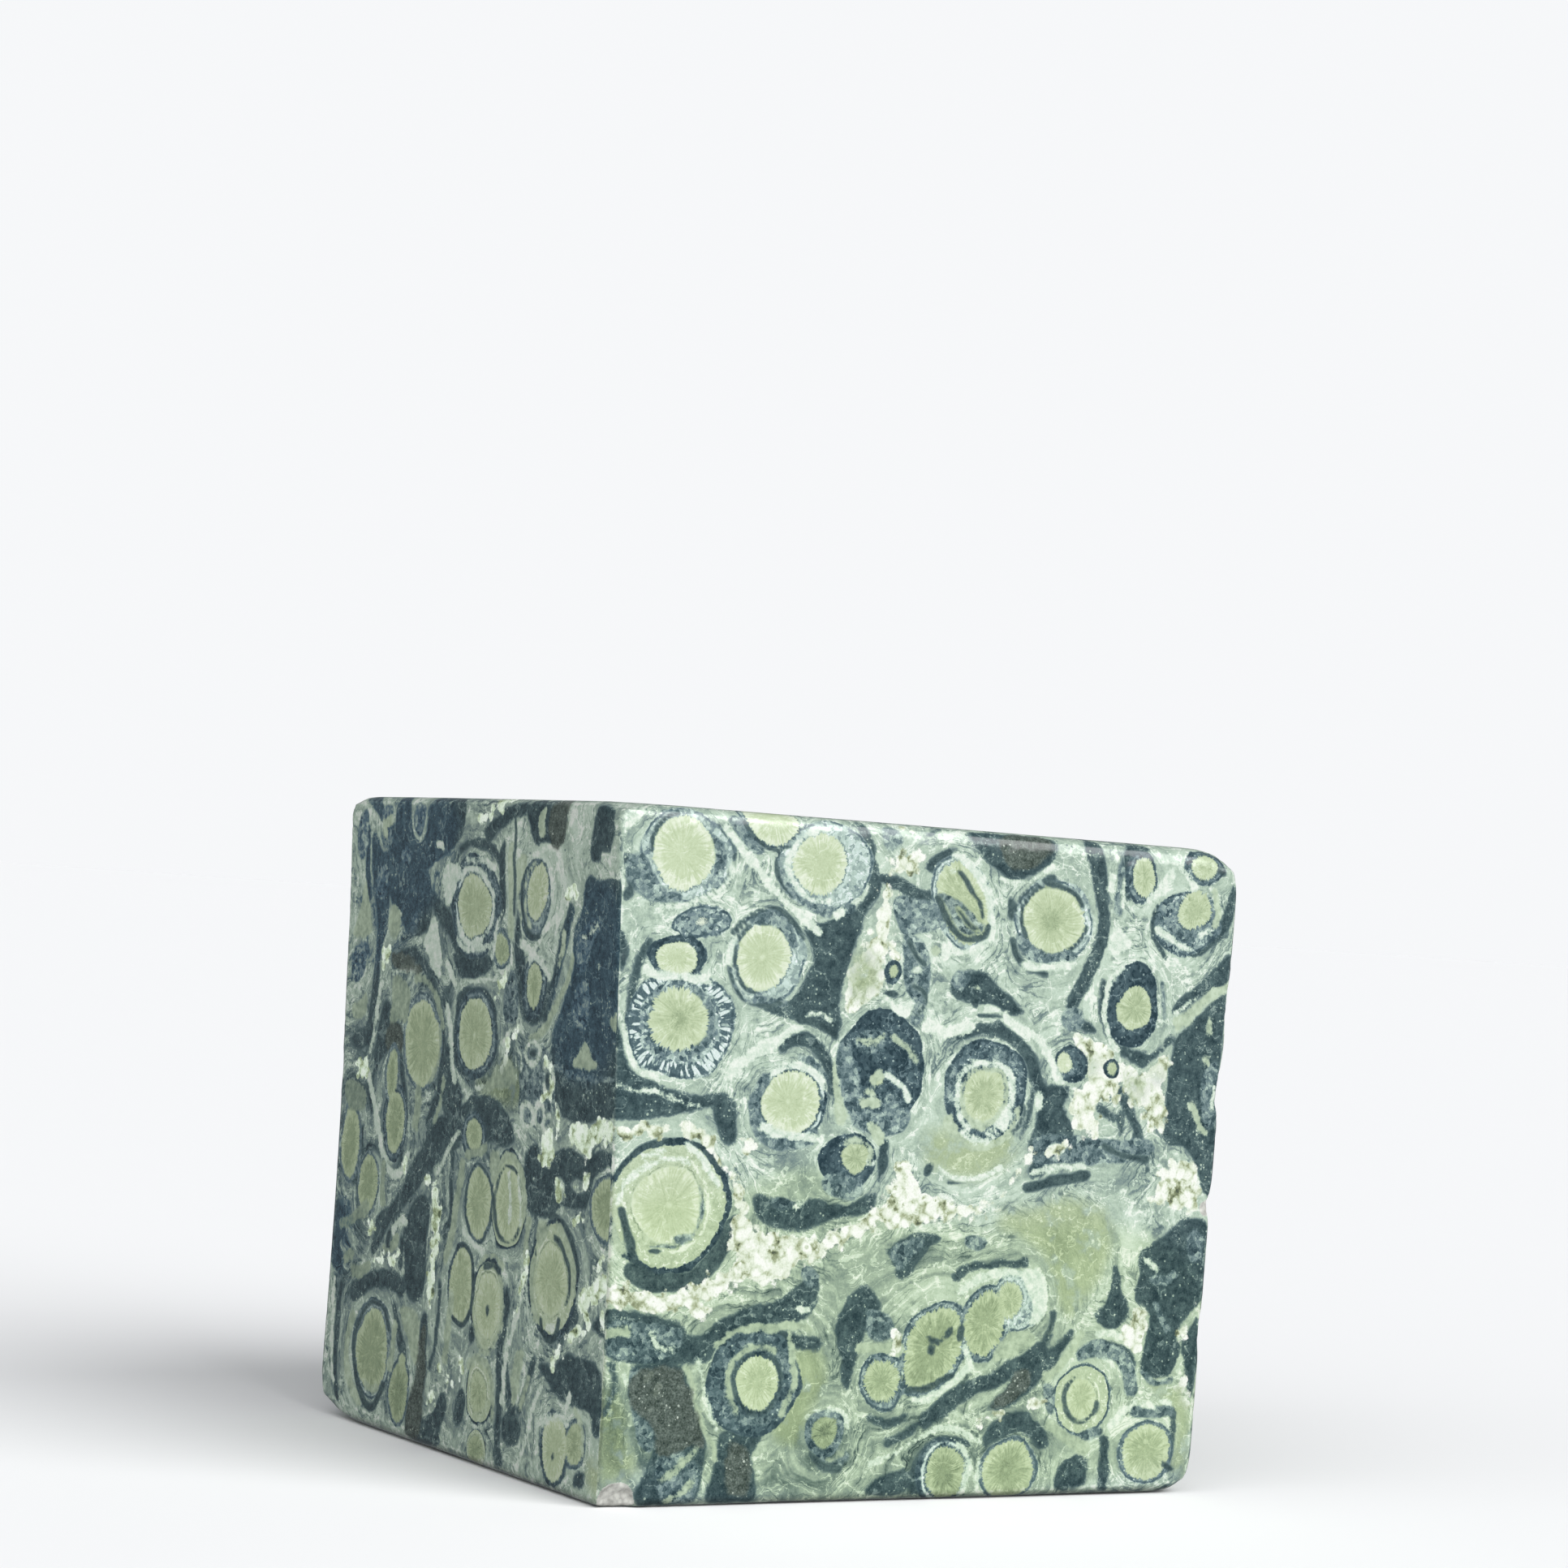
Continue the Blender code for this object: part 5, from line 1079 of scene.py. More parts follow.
def pattern_on(mesh, points, share, surface):
    """Works out the whole pattern and stores it on the skin."""
    points = wandering(points)
    eyes = [place_eye(mark, FRONT, surface) for mark in FRONT_EYES]
    eyes += [place_eye(mark, LEFT, surface) for mark in LEFT_EYES]
    eyes += wild_eyes(surface, eyes)
    on_front = share[:, Y] < -0.9999
    on_left = (share[:, X] < -0.9999) & ~on_front
    core_gap, halo_gap, ray, halo_look, core_look = eye_fields(points, eyes, on_front, on_left)
    put_values(mesh, "core_gap", core_gap)
    put_values(mesh, "halo_gap", halo_gap)
    put_values(mesh, "eye_ray", ray)
    put_values(mesh, "halo_look", halo_look)
    put_values(mesh, "core_look", core_look)

    behind_front = points[:, Y] - LOW[Y]
    left_plane = between_corners(np.column_stack((-np.ones(len(share)), share[:, 1:])), solid_corners())[:, X]
    behind_left = points[:, X] - left_plane
    taper_front = np.where(on_left, 9.0, 0.45 * behind_front)
    taper_left = np.where(on_front, 9.0, 0.45 * np.maximum(behind_left, 0.0))
    taper_front[on_front] = 0.0
    taper_left[on_left] = 0.0
    front_zones, front_tints = draw_shapes(FRONT_SHAPES, points[:, [X, Z]], taper_front)
    left_zones, left_tints = draw_shapes(LEFT_SHAPES, points[:, [Y, Z]], taper_left)
    for kind in FIRM_KINDS:
        put_values(mesh, f"{kind}_depth", np.maximum(front_zones[kind], left_zones[kind]))
    tints = {kind: np.maximum(front_tints[kind], left_tints[kind]) for kind in TINTS}
    put_values(mesh, "tints", np.column_stack((tints["olive"], tints["brown"], tints["bright"] - tints["dim_and_shade"])))
    put_values(mesh, "hues_and_painted_light", np.column_stack((tints["moss"], tints["blue_reflection"], tints["painted_seam_light"])))

    drawn = np.maximum(
        1 - soft_step(behind_front, 0.3, DRAWN_REACH),
        1 - soft_step(behind_left, 0.3, DRAWN_REACH),
    )
    drawn[on_front | on_left] = 1.0
    raw = np.zeros(len(points))
    for middle, radii in CHIPS:
        raw = np.maximum(raw, soft_step(-ellipsoid_gap(points - middle, np.array(radii)), -0.1, 0.35))
    put_values(mesh, "drawn", drawn)
    put_values(mesh, "raw_chip", raw)
    return raw


def edge_nearness(share):
    """1 on an edge of the block, 0 a few millimetres from it."""
    second = np.sort(np.abs(share), axis=1)[:, 1]
    return soft_step((1 - second) * SIZE.mean() / 2, 1.1, 0.1)


def wear(points, normals, share, raw):
    """Takes a little stone away: hand-polished waves, nicks along the edges and rough chips. Nothing is added."""
    near_edge = edge_nearness(share)
    depth = np.zeros(len(points))
    for n, point in enumerate(points):
        wave = 0.5 + 0.5 * noise.noise(Vector(point) * 0.07)
        depth[n] = 0.05 * wave
        if near_edge[n] > 0.02:
            nick = max(0.0, noise.noise(Vector(point) * 0.9) - 0.18) + 0.4 * max(0.0, noise.noise(Vector(point) * 2.7))
            depth[n] += 0.16 * nick * near_edge[n]
        if raw[n] > 0.02:
            lumps = noise.multi_fractal(Vector(point) * 1.5, 0.6, 2.0, 3)
            depth[n] += raw[n] * 0.22 * abs(lumps - 1.0)
    return points - normals * depth[:, None]


def stone_piece():
    """The visible stone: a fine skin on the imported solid, carrying the pattern."""
    mesh = cube_grid()
    share = np.array([v.co for v in mesh.vertices], float)
    surface = solid_surface()
    points = lay_on_solid(crowd(share), surface)
    points = smooth_points(points, mesh, SMOOTHING_ROUNDS)
    raw = pattern_on(mesh, points, share, surface)
    put_values(mesh, "edge_wear", edge_nearness(share))
    mesh.vertices.foreach_set("co", (points * MM).astype(np.float32).ravel())
    mesh.update()
    normals = np.array([v.vector for v in mesh.vertex_normals], float)
    points = wear(points, normals, share, raw)
    points = np.clip(points, LOW, HIGH)
    mesh.vertices.foreach_set("co", (points * MM).astype(np.float32).ravel())
    mesh.shade_smooth()
    mesh.update()
    stone = bpy.data.objects.new("polished_stone", mesh)
    bpy.context.scene.collection.objects.link(stone)
    stone.data.materials.append(kambaba_material())
    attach(stone, "root")
    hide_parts("jasper_cube")
    return stone


# Material

FACE_LIGHT = 1.45  # how much brighter the lit face looks than the stone's own colour
GLOSS_HAZE = 0.012  # what the polish adds to every colour


def linear(code):
    """A colour written as sRGB hex digits, as the linear values that shaders use."""
    values = [int(code[n:n + 2], 16) / 255 for n in (0, 2, 4)]
    return [v / 12.92 if v <= 0.04045 else ((v + 0.055) / 1.055) ** 2.4 for v in values]


def stone(code):
    """A colour as the lit, polished face shows it, taken down to the stone's own."""
    return tuple(max(v - GLOSS_HAZE, 0.004) / FACE_LIGHT for v in linear(code)) + (1.0,)


# From darkest to palest, with the tone from which each counts
COOL_STONE = (
    (0.00, "2f4247"), (0.14, "485c5f"), (0.28, "5f7575"), (0.42, "7d918f"),
    (0.55, "9aaea2"), (0.68, "b8ccb9"), (0.82, "d2e4d3"), (1.00, "f2f8ee"),
)
WARM_STONE = (
    (0.00, "3c4b40"), (0.20, "6b7c66"), (0.36, "93a583"), (0.48, "a8ba95"),
    (0.62, "bfcfaa"), (0.78, "d0dfbc"), (1.00, "ecf4e0"),
)
CREAM_STONE = (
    (0.00, "55604e"), (0.22, "848e6c"), (0.40, "b4bf9c"), (0.60, "d8e3ca"), (0.80, "edf4e3"), (1.00, "fbfdf5"),
)
BROWN_STONE = ((0.00, "2e3a38"), (0.20, "4d584f"), (0.40, "66726a"), (0.70, "93a093"), (1.00, "dfe8dc"))
CHALK = "e4e4dc"
ICE = (0.98, 1.0, 1.10)  # what clear crystals do to the colour
MOSS = (0.98, 1.0, 0.94)  # what the greener parts do to it
BLUE_REFLECTION = (0.84, 0.98, 1.20)  # painted reflection: a bluish sheen laid on the darker parts
PAINTED_SEAM_LIGHT = (1.30, 1.40, 1.32)  # painted light: the seams on the shaded side face made whiter, as if lit more


class Nodes:
    """Short ways to add shader nodes and join them. Every method gives the new node's output."""

    def __init__(self, tree):
        self.tree = tree

    def add(self, kind, inputs=(), **settings):
        node = self.tree.nodes.new(kind)
        for name, value in settings.items():
            setattr(node, name, value)
        for key, value in dict(inputs).items():
            self.feed(node.inputs[key], value)
        return node

    def feed(self, socket, value):
        if isinstance(value, bpy.types.NodeSocket):
            self.tree.links.new(value, socket)
        else:
            socket.default_value = value

    def math(self, operation, a, b=0.0, c=0.0):
        return self.add("ShaderNodeMath", {0: a, 1: b, 2: c}, operation=operation).outputs[0]

    def plus(self, *values):
        total = values[0]
        for value in values[1:]:
            total = self.math("ADD", total, value)
        return total

    def times(self, *values):
        total = values[0]
        for value in values[1:]:
            total = self.math("MULTIPLY", total, value)
        return total

    def scaled(self, a, factor, offset=0.0):
        return self.math("MULTIPLY_ADD", a, factor, offset)

    def swing(self, noise, size):
        """A noise, whose values lie round a half, as a swing of about this size to either side of 0."""
        return self.scaled(noise, 4.0 * size, -2.0 * size)

    def step(self, value, low, high):
        """0 at low, 1 at high, smooth between."""
        inputs = {"Value": value, "From Min": low, "From Max": high}
        return self.add("ShaderNodeMapRange", inputs, interpolation_type="SMOOTHSTEP").outputs[0]

    def band(self, value, low, high, soft):
        """1 between low and high, 0 outside."""
        return self.times(self.step(value, low - soft, low + soft), self.step(value, high + soft, high - soft))

    def mix(self, share, a, b):
        node = self.add("ShaderNodeMix", data_type="RGBA")
        self.feed(node.inputs[0], share)
        self.feed(node.inputs[6], a)
        self.feed(node.inputs[7], b)
        return node.outputs[2]

    def blend(self, share, a, b):
        """a at share 0, b at share 1, for numbers."""
        node = self.add("ShaderNodeMix", data_type="FLOAT")
        self.feed(node.inputs[0], share)
        self.feed(node.inputs[2], a)
        self.feed(node.inputs[3], b)
        return node.outputs[0]

    def ramp(self, tone, colours):
        node = self.add("ShaderNodeValToRGB", {0: tone})
        stops = node.color_ramp.elements
        while len(stops) < len(colours):
            stops.new(0.5)
        for stop, (place, code) in zip(stops, colours):
            stop.position = place
            stop.color = stone(code)
        return node.outputs["Color"]

    def vector(self, operation, a, b=(0, 0, 0), scale=1.0):
        node = self.add("ShaderNodeVectorMath", operation=operation)
        self.feed(node.inputs[0], a)
        if operation == "SCALE":
            self.feed(node.inputs["Scale"], scale)
        elif operation not in ("NORMALIZE", "LENGTH"):
            self.feed(node.inputs[1], b)
        return node.outputs["Value" if operation == "LENGTH" else "Vector"]

    def noise(self, place, scale, detail=2.0, rough=0.5):
        inputs = {"Vector": place, "Scale": scale, "Detail": detail, "Roughness": rough}
        return self.add("ShaderNodeTexNoise", inputs).outputs["Fac"]

    def cells(self, place, scale, feature="F1"):
        inputs = {"Vector": place, "Scale": scale}
        return self.add("ShaderNodeTexVoronoi", inputs, feature=feature)

    def stored(self, name):
        """A number or vector stored on the skin."""
        return self.add("ShaderNodeAttribute", attribute_name=name)

    def split(self, vector):
        return self.add("ShaderNodeSeparateXYZ", {0: vector}).outputs

    def joined(self, x, y, z):
        return self.add("ShaderNodeCombineXYZ", {0: x, 1: y, 2: z}).outputs[0]


def veinlets(n, place, noises):
    """Hair-fine pale lines that run through everything."""
    bent = n.vector("ADD", place, n.vector("SCALE", n.joined(noises["grain"], noises["cloud"], 0.0), scale=1.4))
    fine_line = n.step(n.math("ABSOLUTE", n.scaled(n.noise(bent, 0.62, 3), 1.0, -0.5)), 0.011, 0.002)
    long_line = n.step(n.math("ABSOLUTE", n.scaled(n.noise(bent, 0.27, 3), 1.0, -0.5)), 0.010, 0.003)
    fine_line = n.times(fine_line, n.step(noises["cloud"], 0.48, 0.56))
    long_line = n.times(long_line, n.step(noises["grain"], 0.42, 0.5))
    return n.math("MAXIMUM", fine_line, long_line)


def crystals(n, place, scale, share, noises):
    """Small scattered crystals: 1 in the middle of one. share is how many of the grains have one."""
    grains = n.cells(place, scale)
    random_size, random_pick, _ = n.split(grains.outputs["Color"])
    size = n.scaled(random_size, 0.26, 0.06)
    lit = n.step(n.math("SUBTRACT", size, grains.outputs["Distance"]), -0.03, 0.06)
    gathered = n.plus(random_pick, n.swing(noises["cloud"], -0.35), n.swing(noises["broad"], 0.15))
    return n.times(lit, n.step(gathered, share, share - 0.08))


def ridge(n, noise, width):
    """Thin lines where a noise passes its middle value."""
    return n.step(n.math("ABSOLUTE", n.scaled(noise, 1.0, -0.5)), width, width * 0.2)


def matrix_tone(n, noises, halo_gap, place, shade, olive):
    """The stone between the eyes: pale strands that flow round the halos, with finer white and dark lines."""
    flow = n.plus(halo_gap, n.swing(noises["cloud"], 0.3), n.swing(noises["broad"], 0.8))
    along = n.vector("SCALE", place, scale=0.2)
    bent = n.vector("ADD", along, n.joined(n.times(flow, 0.95), n.times(flow, 0.3), n.times(flow, 0.6)))
    strands = n.noise(bent, 1.0, 2, 0.5)
    white = ridge(n, n.noise(n.vector("ADD", bent, (3.1, 5.2, 1.7)), 1.5, 2), 0.035)
    calm = n.scaled(olive, -0.75, 1.0)
    dark = ridge(n, n.noise(n.vector("ADD", bent, (8.4, 2.6, 6.3)), 1.1, 2), 0.03)
    unrest = n.blend(n.step(noises["broad"], 0.42, 0.58), 0.5, 1.3)
    unrest = n.times(unrest, calm)
    dim = n.math("MAXIMUM", n.scaled(shade, -1.0), 0.0)
    tone = n.plus(n.scaled(shade, 0.11, 0.69), n.times(n.swing(strands, 0.13), calm, n.scaled(dim, 0.6, 1.0)))
    tone = n.plus(tone, n.times(unrest, n.plus(n.swing(noises["cloud"], 0.11), n.swing(noises["grain"], 0.14))))
    tone = n.plus(tone, n.swing(noises["fine"], 0.07))
    tone = n.plus(tone, n.times(white, n.step(noises["cloud"], 0.44, 0.54), calm, 0.22))
    return n.plus(tone, n.times(dark, n.step(noises["broad"], 0.4, 0.55), calm, -0.24))


def slate_tone(n, noises):
    """Dark stone with soft lighter clouds."""
    clouds = n.plus(n.swing(noises["cloud"], 0.1), n.swing(noises["grain"], 0.14), n.swing(noises["fine"], 0.1))
    return n.plus(clouds, 0.14)


def halo_tone(n, noises, place, core_gap, halo_gap, unit_ray, looks):
    """The ring round a core: a mosaic of crystals, with a pale line near the core and a dark one outside."""
    level, glitter, rings = looks
    width = n.math("MAXIMUM", n.math("SUBTRACT", core_gap, halo_gap), 0.05)
    across = n.plus(n.math("DIVIDE", core_gap, width), n.swing(noises["grain"], 0.08))
    mosaic = n.split(n.cells(place, 3.4).outputs["Color"])[0]
    flicker = n.plus(n.scaled(mosaic, 0.8, -0.4), n.swing(noises["fine"], 0.14), n.swing(noises["grain"], 0.16))
    tone = n.plus(level, n.times(flicker, n.scaled(glitter, 0.55, 0.2)), n.swing(noises["cloud"], 0.14))

    teeth = n.cells(n.vector("SCALE", unit_ray, scale=n.scaled(across, 2.2, 15.0)), 1.0)
    tooth = n.step(n.split(teeth.outputs["Color"])[0], 0.25, 0.4)
    tooth = n.times(tooth, n.step(teeth.outputs["Distance"], 0.72, 0.45))
    teeth_tone = n.plus(n.blend(tooth, 0.24, 0.9), n.swing(noises["fine"], 0.12))
    has_teeth = n.times(n.band(across, 0.46, 0.95, 0.05), n.step(glitter, 0.8, 1.0))
    tone = n.blend(has_teeth, tone, teeth_tone)

    near = n.plus(core_gap, n.swing(noises["grain"], 0.12))
    ring = n.times(n.band(near, 0.18, 0.42, 0.08), rings, n.step(noises["cloud"], 0.38, 0.5))
    tone = n.blend(n.times(ring, 0.95), tone, 0.88)
    outline = n.band(n.plus(halo_gap, n.swing(noises["grain"], 0.1)), -0.24, -0.04, 0.07)
    return n.blend(n.times(outline, n.step(noises["cloud"], 0.38, 0.52), 0.7), tone, 0.08), across


def core_tone(n, noises, ray, ray_noise, core_gap, core_look):
    """The middle of an eye: fibres run out from its centre, and it pales towards a feathery rim."""
    tone, spot, collar = core_look
    body = n.plus(tone, n.swing(ray_noise, 0.09), n.swing(noises["cloud"], 0.05), -0.05)
    body = n.plus(body, n.swing(noises["fine"], 0.07), n.swing(noises["grain"], 0.07))
    rim = n.step(n.plus(core_gap, n.swing(noises["grain"], 0.3), n.swing(ray_noise, 0.5)), -1.1, -0.1)
    body = n.plus(body, n.times(rim, 0.17))
    radius = n.plus(n.vector("LENGTH", ray), n.swing(noises["fine"], 0.05), n.swing(ray_noise, 0.06))
    centre = n.times(n.step(radius, 0.5, 0.02), spot)
    pip = n.times(n.step(radius, 0.12, 0.05), n.step(spot, 0.05, 0.2), n.step(spot, 0.7, 0.4))
    return n.plus(body, n.times(centre, -0.3), n.times(pip, 0.2))


RAGGEDNESS = {"grey": 0.5, "mint": 0.8, "pale": 0.7, "ink": 0.5}


def wild_over(n, noises, place, core_gap, halo_gap):
    """Masks of what lies over the eyes on the sides that are not drawn: arcs along their rings, and patches."""
    near = n.plus(core_gap, n.swing(noises["grain"], 0.16))
    outer = n.plus(halo_gap, n.swing(noises["grain"], 0.16))
    gates = n.add("ShaderNodeTexNoise", {"Vector": place, "Scale": 0.2, "Detail": 1.0}).outputs["Color"]
    first, second, third = n.split(gates)
    halo = n.times(n.step(near, 0.3, 0.5), n.step(outer, -0.05, -0.2))
    return {
        "grey": n.times(halo, n.step(third, 0.46, 0.42)),
        "mint": n.times(n.band(outer, -0.6, 0.4, 0.1), n.step(third, 0.53, 0.57)),
        "pale": n.math("MAXIMUM", n.times(n.band(near, 0.5, 0.8, 0.08), n.step(second, 0.52, 0.56)),
                       n.times(n.band(outer, 0.6, 0.95, 0.1), n.step(second, 0.48, 0.44))),
        "ink": n.math("MAXIMUM", n.times(n.band(near, 0.15, 0.4, 0.06), n.step(first, 0.5, 0.54)),
                      n.times(n.band(outer, 0.2, 0.6, 0.08), n.step(first, 0.47, 0.43))),
    }


def draw_over(n, noises, place, ragged, shade, drawn, wild):
    """What lies over the eyes, from below to above: its kind, mask and tone."""
    bent = n.vector("ADD", place, n.vector("SCALE", n.joined(noises["grain"], noises["cloud"], 0.0), scale=1.2))
    blocks = n.split(n.cells(bent, 1.5).outputs["Color"])[0]
    speckle = n.split(n.cells(n.vector("ADD", place, (5.5, 1.2, 3.4)), 3.2).outputs["Color"])[0]
    mosaic = n.plus(n.scaled(blocks, 0.34, -0.17), n.scaled(speckle, 0.36, -0.18))
    dim = n.math("MINIMUM", n.scaled(shade, 0.06), 0.0)
    tones = {
        "grey": n.plus(0.37, mosaic, n.swing(noises["grain"], 0.14), n.swing(noises["fine"], 0.12), dim),
        "mint": n.plus(0.68, n.swing(noises["grain"], 0.16), n.swing(noises["cloud"], 0.1), n.times(dim, 1.4)),
        "pale": n.plus(0.93, n.swing(noises["grain"], 0.16), n.swing(noises["fine"], 0.1), n.times(dim, 0.4)),
        "ink": n.plus(slate_tone(n, noises), -0.03),
    }
    layers = []
    for kind in ABOVE_EYES:
        depth = n.plus(n.stored(f"{kind}_depth").outputs["Fac"], n.times(ragged, RAGGEDNESS[kind]))
        mask = n.blend(drawn, wild[kind], n.step(depth, -0.12, 0.14))
        layers.append((kind, n.times(mask, 0.92), tones[kind]))
    return layers


def cream_tone(n, noises, place):
    """Sugary white seam stone in lumps, with olive clouds and a few brown pits, and painted shade in the crevices
    between the lumps.
    """
    bent = n.vector("ADD", place, n.vector("SCALE", n.joined(noises["cloud"], noises["grain"], 0.0), scale=1.6))
    clouds = n.step(n.noise(place, 0.85, 3, 0.6), 0.54, 0.66)
    spots = n.cells(bent, 1.1)
    random_pick, random_tone, _ = n.split(spots.outputs["Color"])
    pit = n.times(n.step(spots.outputs["Distance"], 0.3, 0.1), n.step(random_pick, 0.8, 0.86))
    # Painted shade: each lump darkens towards its edge, as if shaded in the crevices.
    crevice_shade = n.step(n.plus(spots.outputs["Distance"], n.swing(noises["fine"], 0.08)), 0.3, 0.75)
    tone = n.plus(0.95, n.swing(noises["grain"], 0.14), n.swing(noises["fine"], 0.1), n.scaled(random_tone, 0.24, -0.14))
    crevice_shade = n.times(crevice_shade, n.step(noises["cloud"], 0.34, 0.6))
    return n.plus(tone, n.times(clouds, -0.34), n.times(pit, -0.5), n.times(crevice_shade, -0.6))


def kambaba_material():
    """The polished orbicular stone."""
    material = bpy.data.materials.new("kambaba_jasper")
    material.use_nodes = True
    n = Nodes(material.node_tree)
    shader = material.node_tree.nodes["Principled BSDF"]
    place = n.vector("SCALE", n.add("ShaderNodeTexCoord").outputs["Object"], scale=1 / MM)
    noises = {
        "broad": n.noise(place, 0.16, 2),
        "cloud": n.noise(place, 0.6, 4, 0.6),
        "grain": n.noise(place, 2.0, 4, 0.62),
        "fine": n.noise(place, 6.5, 3, 0.6),
    }
    ragged = n.plus(n.swing(noises["grain"], 0.17), n.swing(noises["cloud"], 0.22), n.swing(noises["fine"], 0.09))
    core_gap = n.stored("core_gap").outputs["Fac"]
    halo_gap = n.stored("halo_gap").outputs["Fac"]
    ray = n.stored("eye_ray").outputs["Vector"]
    halo_look = n.split(n.stored("halo_look").outputs["Vector"])
    core_look = n.split(n.stored("core_look").outputs["Vector"])
    olive, brown, shade = n.split(n.stored("tints").outputs["Vector"])
    drawn = n.stored("drawn").outputs["Fac"]

    wild_slate = n.scaled(n.noise(place, 0.13, 3), 14.0, -7.6)
    wild_seam = n.scaled(n.math("ABSOLUTE", n.scaled(n.noise(place, 0.07, 2), 1.0, -0.5)), -26.0, 0.45)
    slate_depth = n.blend(drawn, wild_slate, n.stored("slate_depth").outputs["Fac"])
    cream_depth = n.blend(drawn, wild_seam, n.stored("cream_depth").outputs["Fac"])

    unit_ray = n.vector("NORMALIZE", ray)
    fibres = n.vector("ADD", n.vector("SCALE", unit_ray, scale=12.0), n.vector("SCALE", place, scale=0.35))
    ray_noise = n.noise(fibres, 1.0, 3)

    sparks = crystals(n, place, 3.1, 0.2, noises)
    pits = crystals(n, n.vector("ADD", place, (7.3, 4.1, 9.7)), 2.6, 0.2, noises)
    tone = matrix_tone(n, noises, halo_gap, place, shade, olive)
    tone = n.plus(tone, n.times(pits, -0.28))
    warmth = n.times(olive, n.step(noises["cloud"], 0.3, 0.5))
    tone = n.plus(tone, n.times(warmth, -0.18))
    moss, blue_reflection, painted_seam_light = n.split(n.stored("hues_and_painted_light").outputs["Vector"])
    warmth = n.math("MAXIMUM", warmth, n.scaled(moss, 0.3))
    slate = n.step(n.plus(slate_depth, ragged), -0.14, 0.2)
    tone = n.blend(slate, tone, slate_tone(n, noises))
    warmth = n.times(warmth, n.scaled(slate, -1.0, 1.0))
    halo = n.step(n.plus(halo_gap, n.times(ragged, 0.4)), 0.07, -0.07)
    ring_tone, across = halo_tone(n, noises, place, core_gap, halo_gap, unit_ray, halo_look[:3])
    tone = n.blend(halo, tone, ring_tone)
    eye_tone = core_tone(n, noises, ray, ray_noise, core_gap, core_look)
    collar = n.times(halo, n.step(n.math("SUBTRACT", across, core_look[2]), 0.03, -0.03), n.step(core_look[2], 0.02, 0.06))
    dashes = n.times(n.band(across, 0.2, 0.3, 0.04), n.step(noises["cloud"], 0.46, 0.52))
    collar_tone = n.plus(0.66, n.swing(noises["grain"], 0.16), n.swing(noises["fine"], 0.1), n.times(dashes, 0.3))
    tone = n.blend(collar, tone, collar_tone)
    fringe = n.times(n.swing(ray_noise, 0.3), n.scaled(halo_look[1], 0.8, 0.2))
    edge_noise = n.plus(fringe, n.swing(noises["grain"], 0.07), n.swing(noises["fine"], 0.06))
    core = n.step(n.plus(core_gap, edge_noise), 0.09, -0.09)
    line = n.times(n.band(n.plus(core_gap, edge_noise), 0.03, 0.15, 0.06), n.step(noises["cloud"], 0.42, 0.55))
    tone = n.blend(n.times(line, n.scaled(halo_look[2], 0.5, 0.25)), tone, 0.15)
    spread = n.scaled(core, -1.0, 1.0)
    tone = n.plus(tone, n.times(sparks, spread, n.math("MAXIMUM", slate, halo), 0.42))
    tone = n.blend(core, tone, eye_tone)
    tone = n.plus(tone, n.times(veinlets(n, place, noises), n.scaled(core, -0.12, 0.26)))
    warmth = n.blend(halo, warmth, n.times(collar, 0.75))
    warmth = n.math("MAXIMUM", warmth, core)
    crystalline = n.times(halo, spread, n.scaled(collar, -1.0, 1.0))
    wild = wild_over(n, noises, place, core_gap, halo_gap)
    for kind, mask, over_tone in draw_over(n, noises, place, ragged, shade, drawn, wild):
        tone = n.blend(mask, tone, over_tone)
        warmth = n.blend(mask, warmth, 0.5 if kind == "mint" else 0.05)
        crystalline = n.blend(mask, crystalline, 1.0 if kind == "grey" else 0.0)

    lumps = n.scaled(n.cells(place, 1.1).outputs["Distance"], -1.1, 0.5)
    cream = n.step(n.plus(cream_depth, lumps, ragged), -0.1, 0.12)
    cream = n.times(cream, n.scaled(halo, -1.0, 1.0), n.scaled(olive, -0.85, 1.0))
    raw = n.stored("raw_chip").outputs["Fac"]
    edge = n.stored("edge_wear").outputs["Fac"]
    worn = n.step(n.plus(edge, n.swing(noises["grain"], 0.3)), 0.8, 1.1)
    tone = n.plus(tone, n.times(worn, 0.2))

    colour = n.mix(warmth, n.ramp(tone, COOL_STONE), n.ramp(tone, WARM_STONE))
    colour = n.mix(n.times(crystalline, n.scaled(warmth, -1.0, 1.0)), colour, n.vector("MULTIPLY", colour, ICE))
    colour = n.mix(moss, colour, n.vector("MULTIPLY", colour, MOSS))
    # Painted reflection: the darker tones are tinted bluer where the bluish sheen patches are drawn.
    colour = n.mix(n.times(blue_reflection, n.step(tone, 0.5, 0.25)), colour, n.vector("MULTIPLY", colour, BLUE_REFLECTION))
    brown_mask = n.times(n.step(n.plus(brown, n.swing(noises["cloud"], 0.3)), 0.4, 0.7), n.scaled(halo, -1.0, 1.0))
    brown_tone = n.plus(0.3, n.swing(noises["grain"], 0.22), n.swing(noises["fine"], 0.26), n.times(sparks, 0.5))
    colour = n.mix(n.times(brown_mask, 0.9), colour, n.ramp(brown_tone, BROWN_STONE))
    seam = n.ramp(cream_tone(n, noises, place), CREAM_STONE)
    # On the side face the seams get painted light, whiter than their own colour.
    colour = n.mix(cream, colour, n.mix(painted_seam_light, seam, n.vector("MULTIPLY", seam, PAINTED_SEAM_LIGHT)))
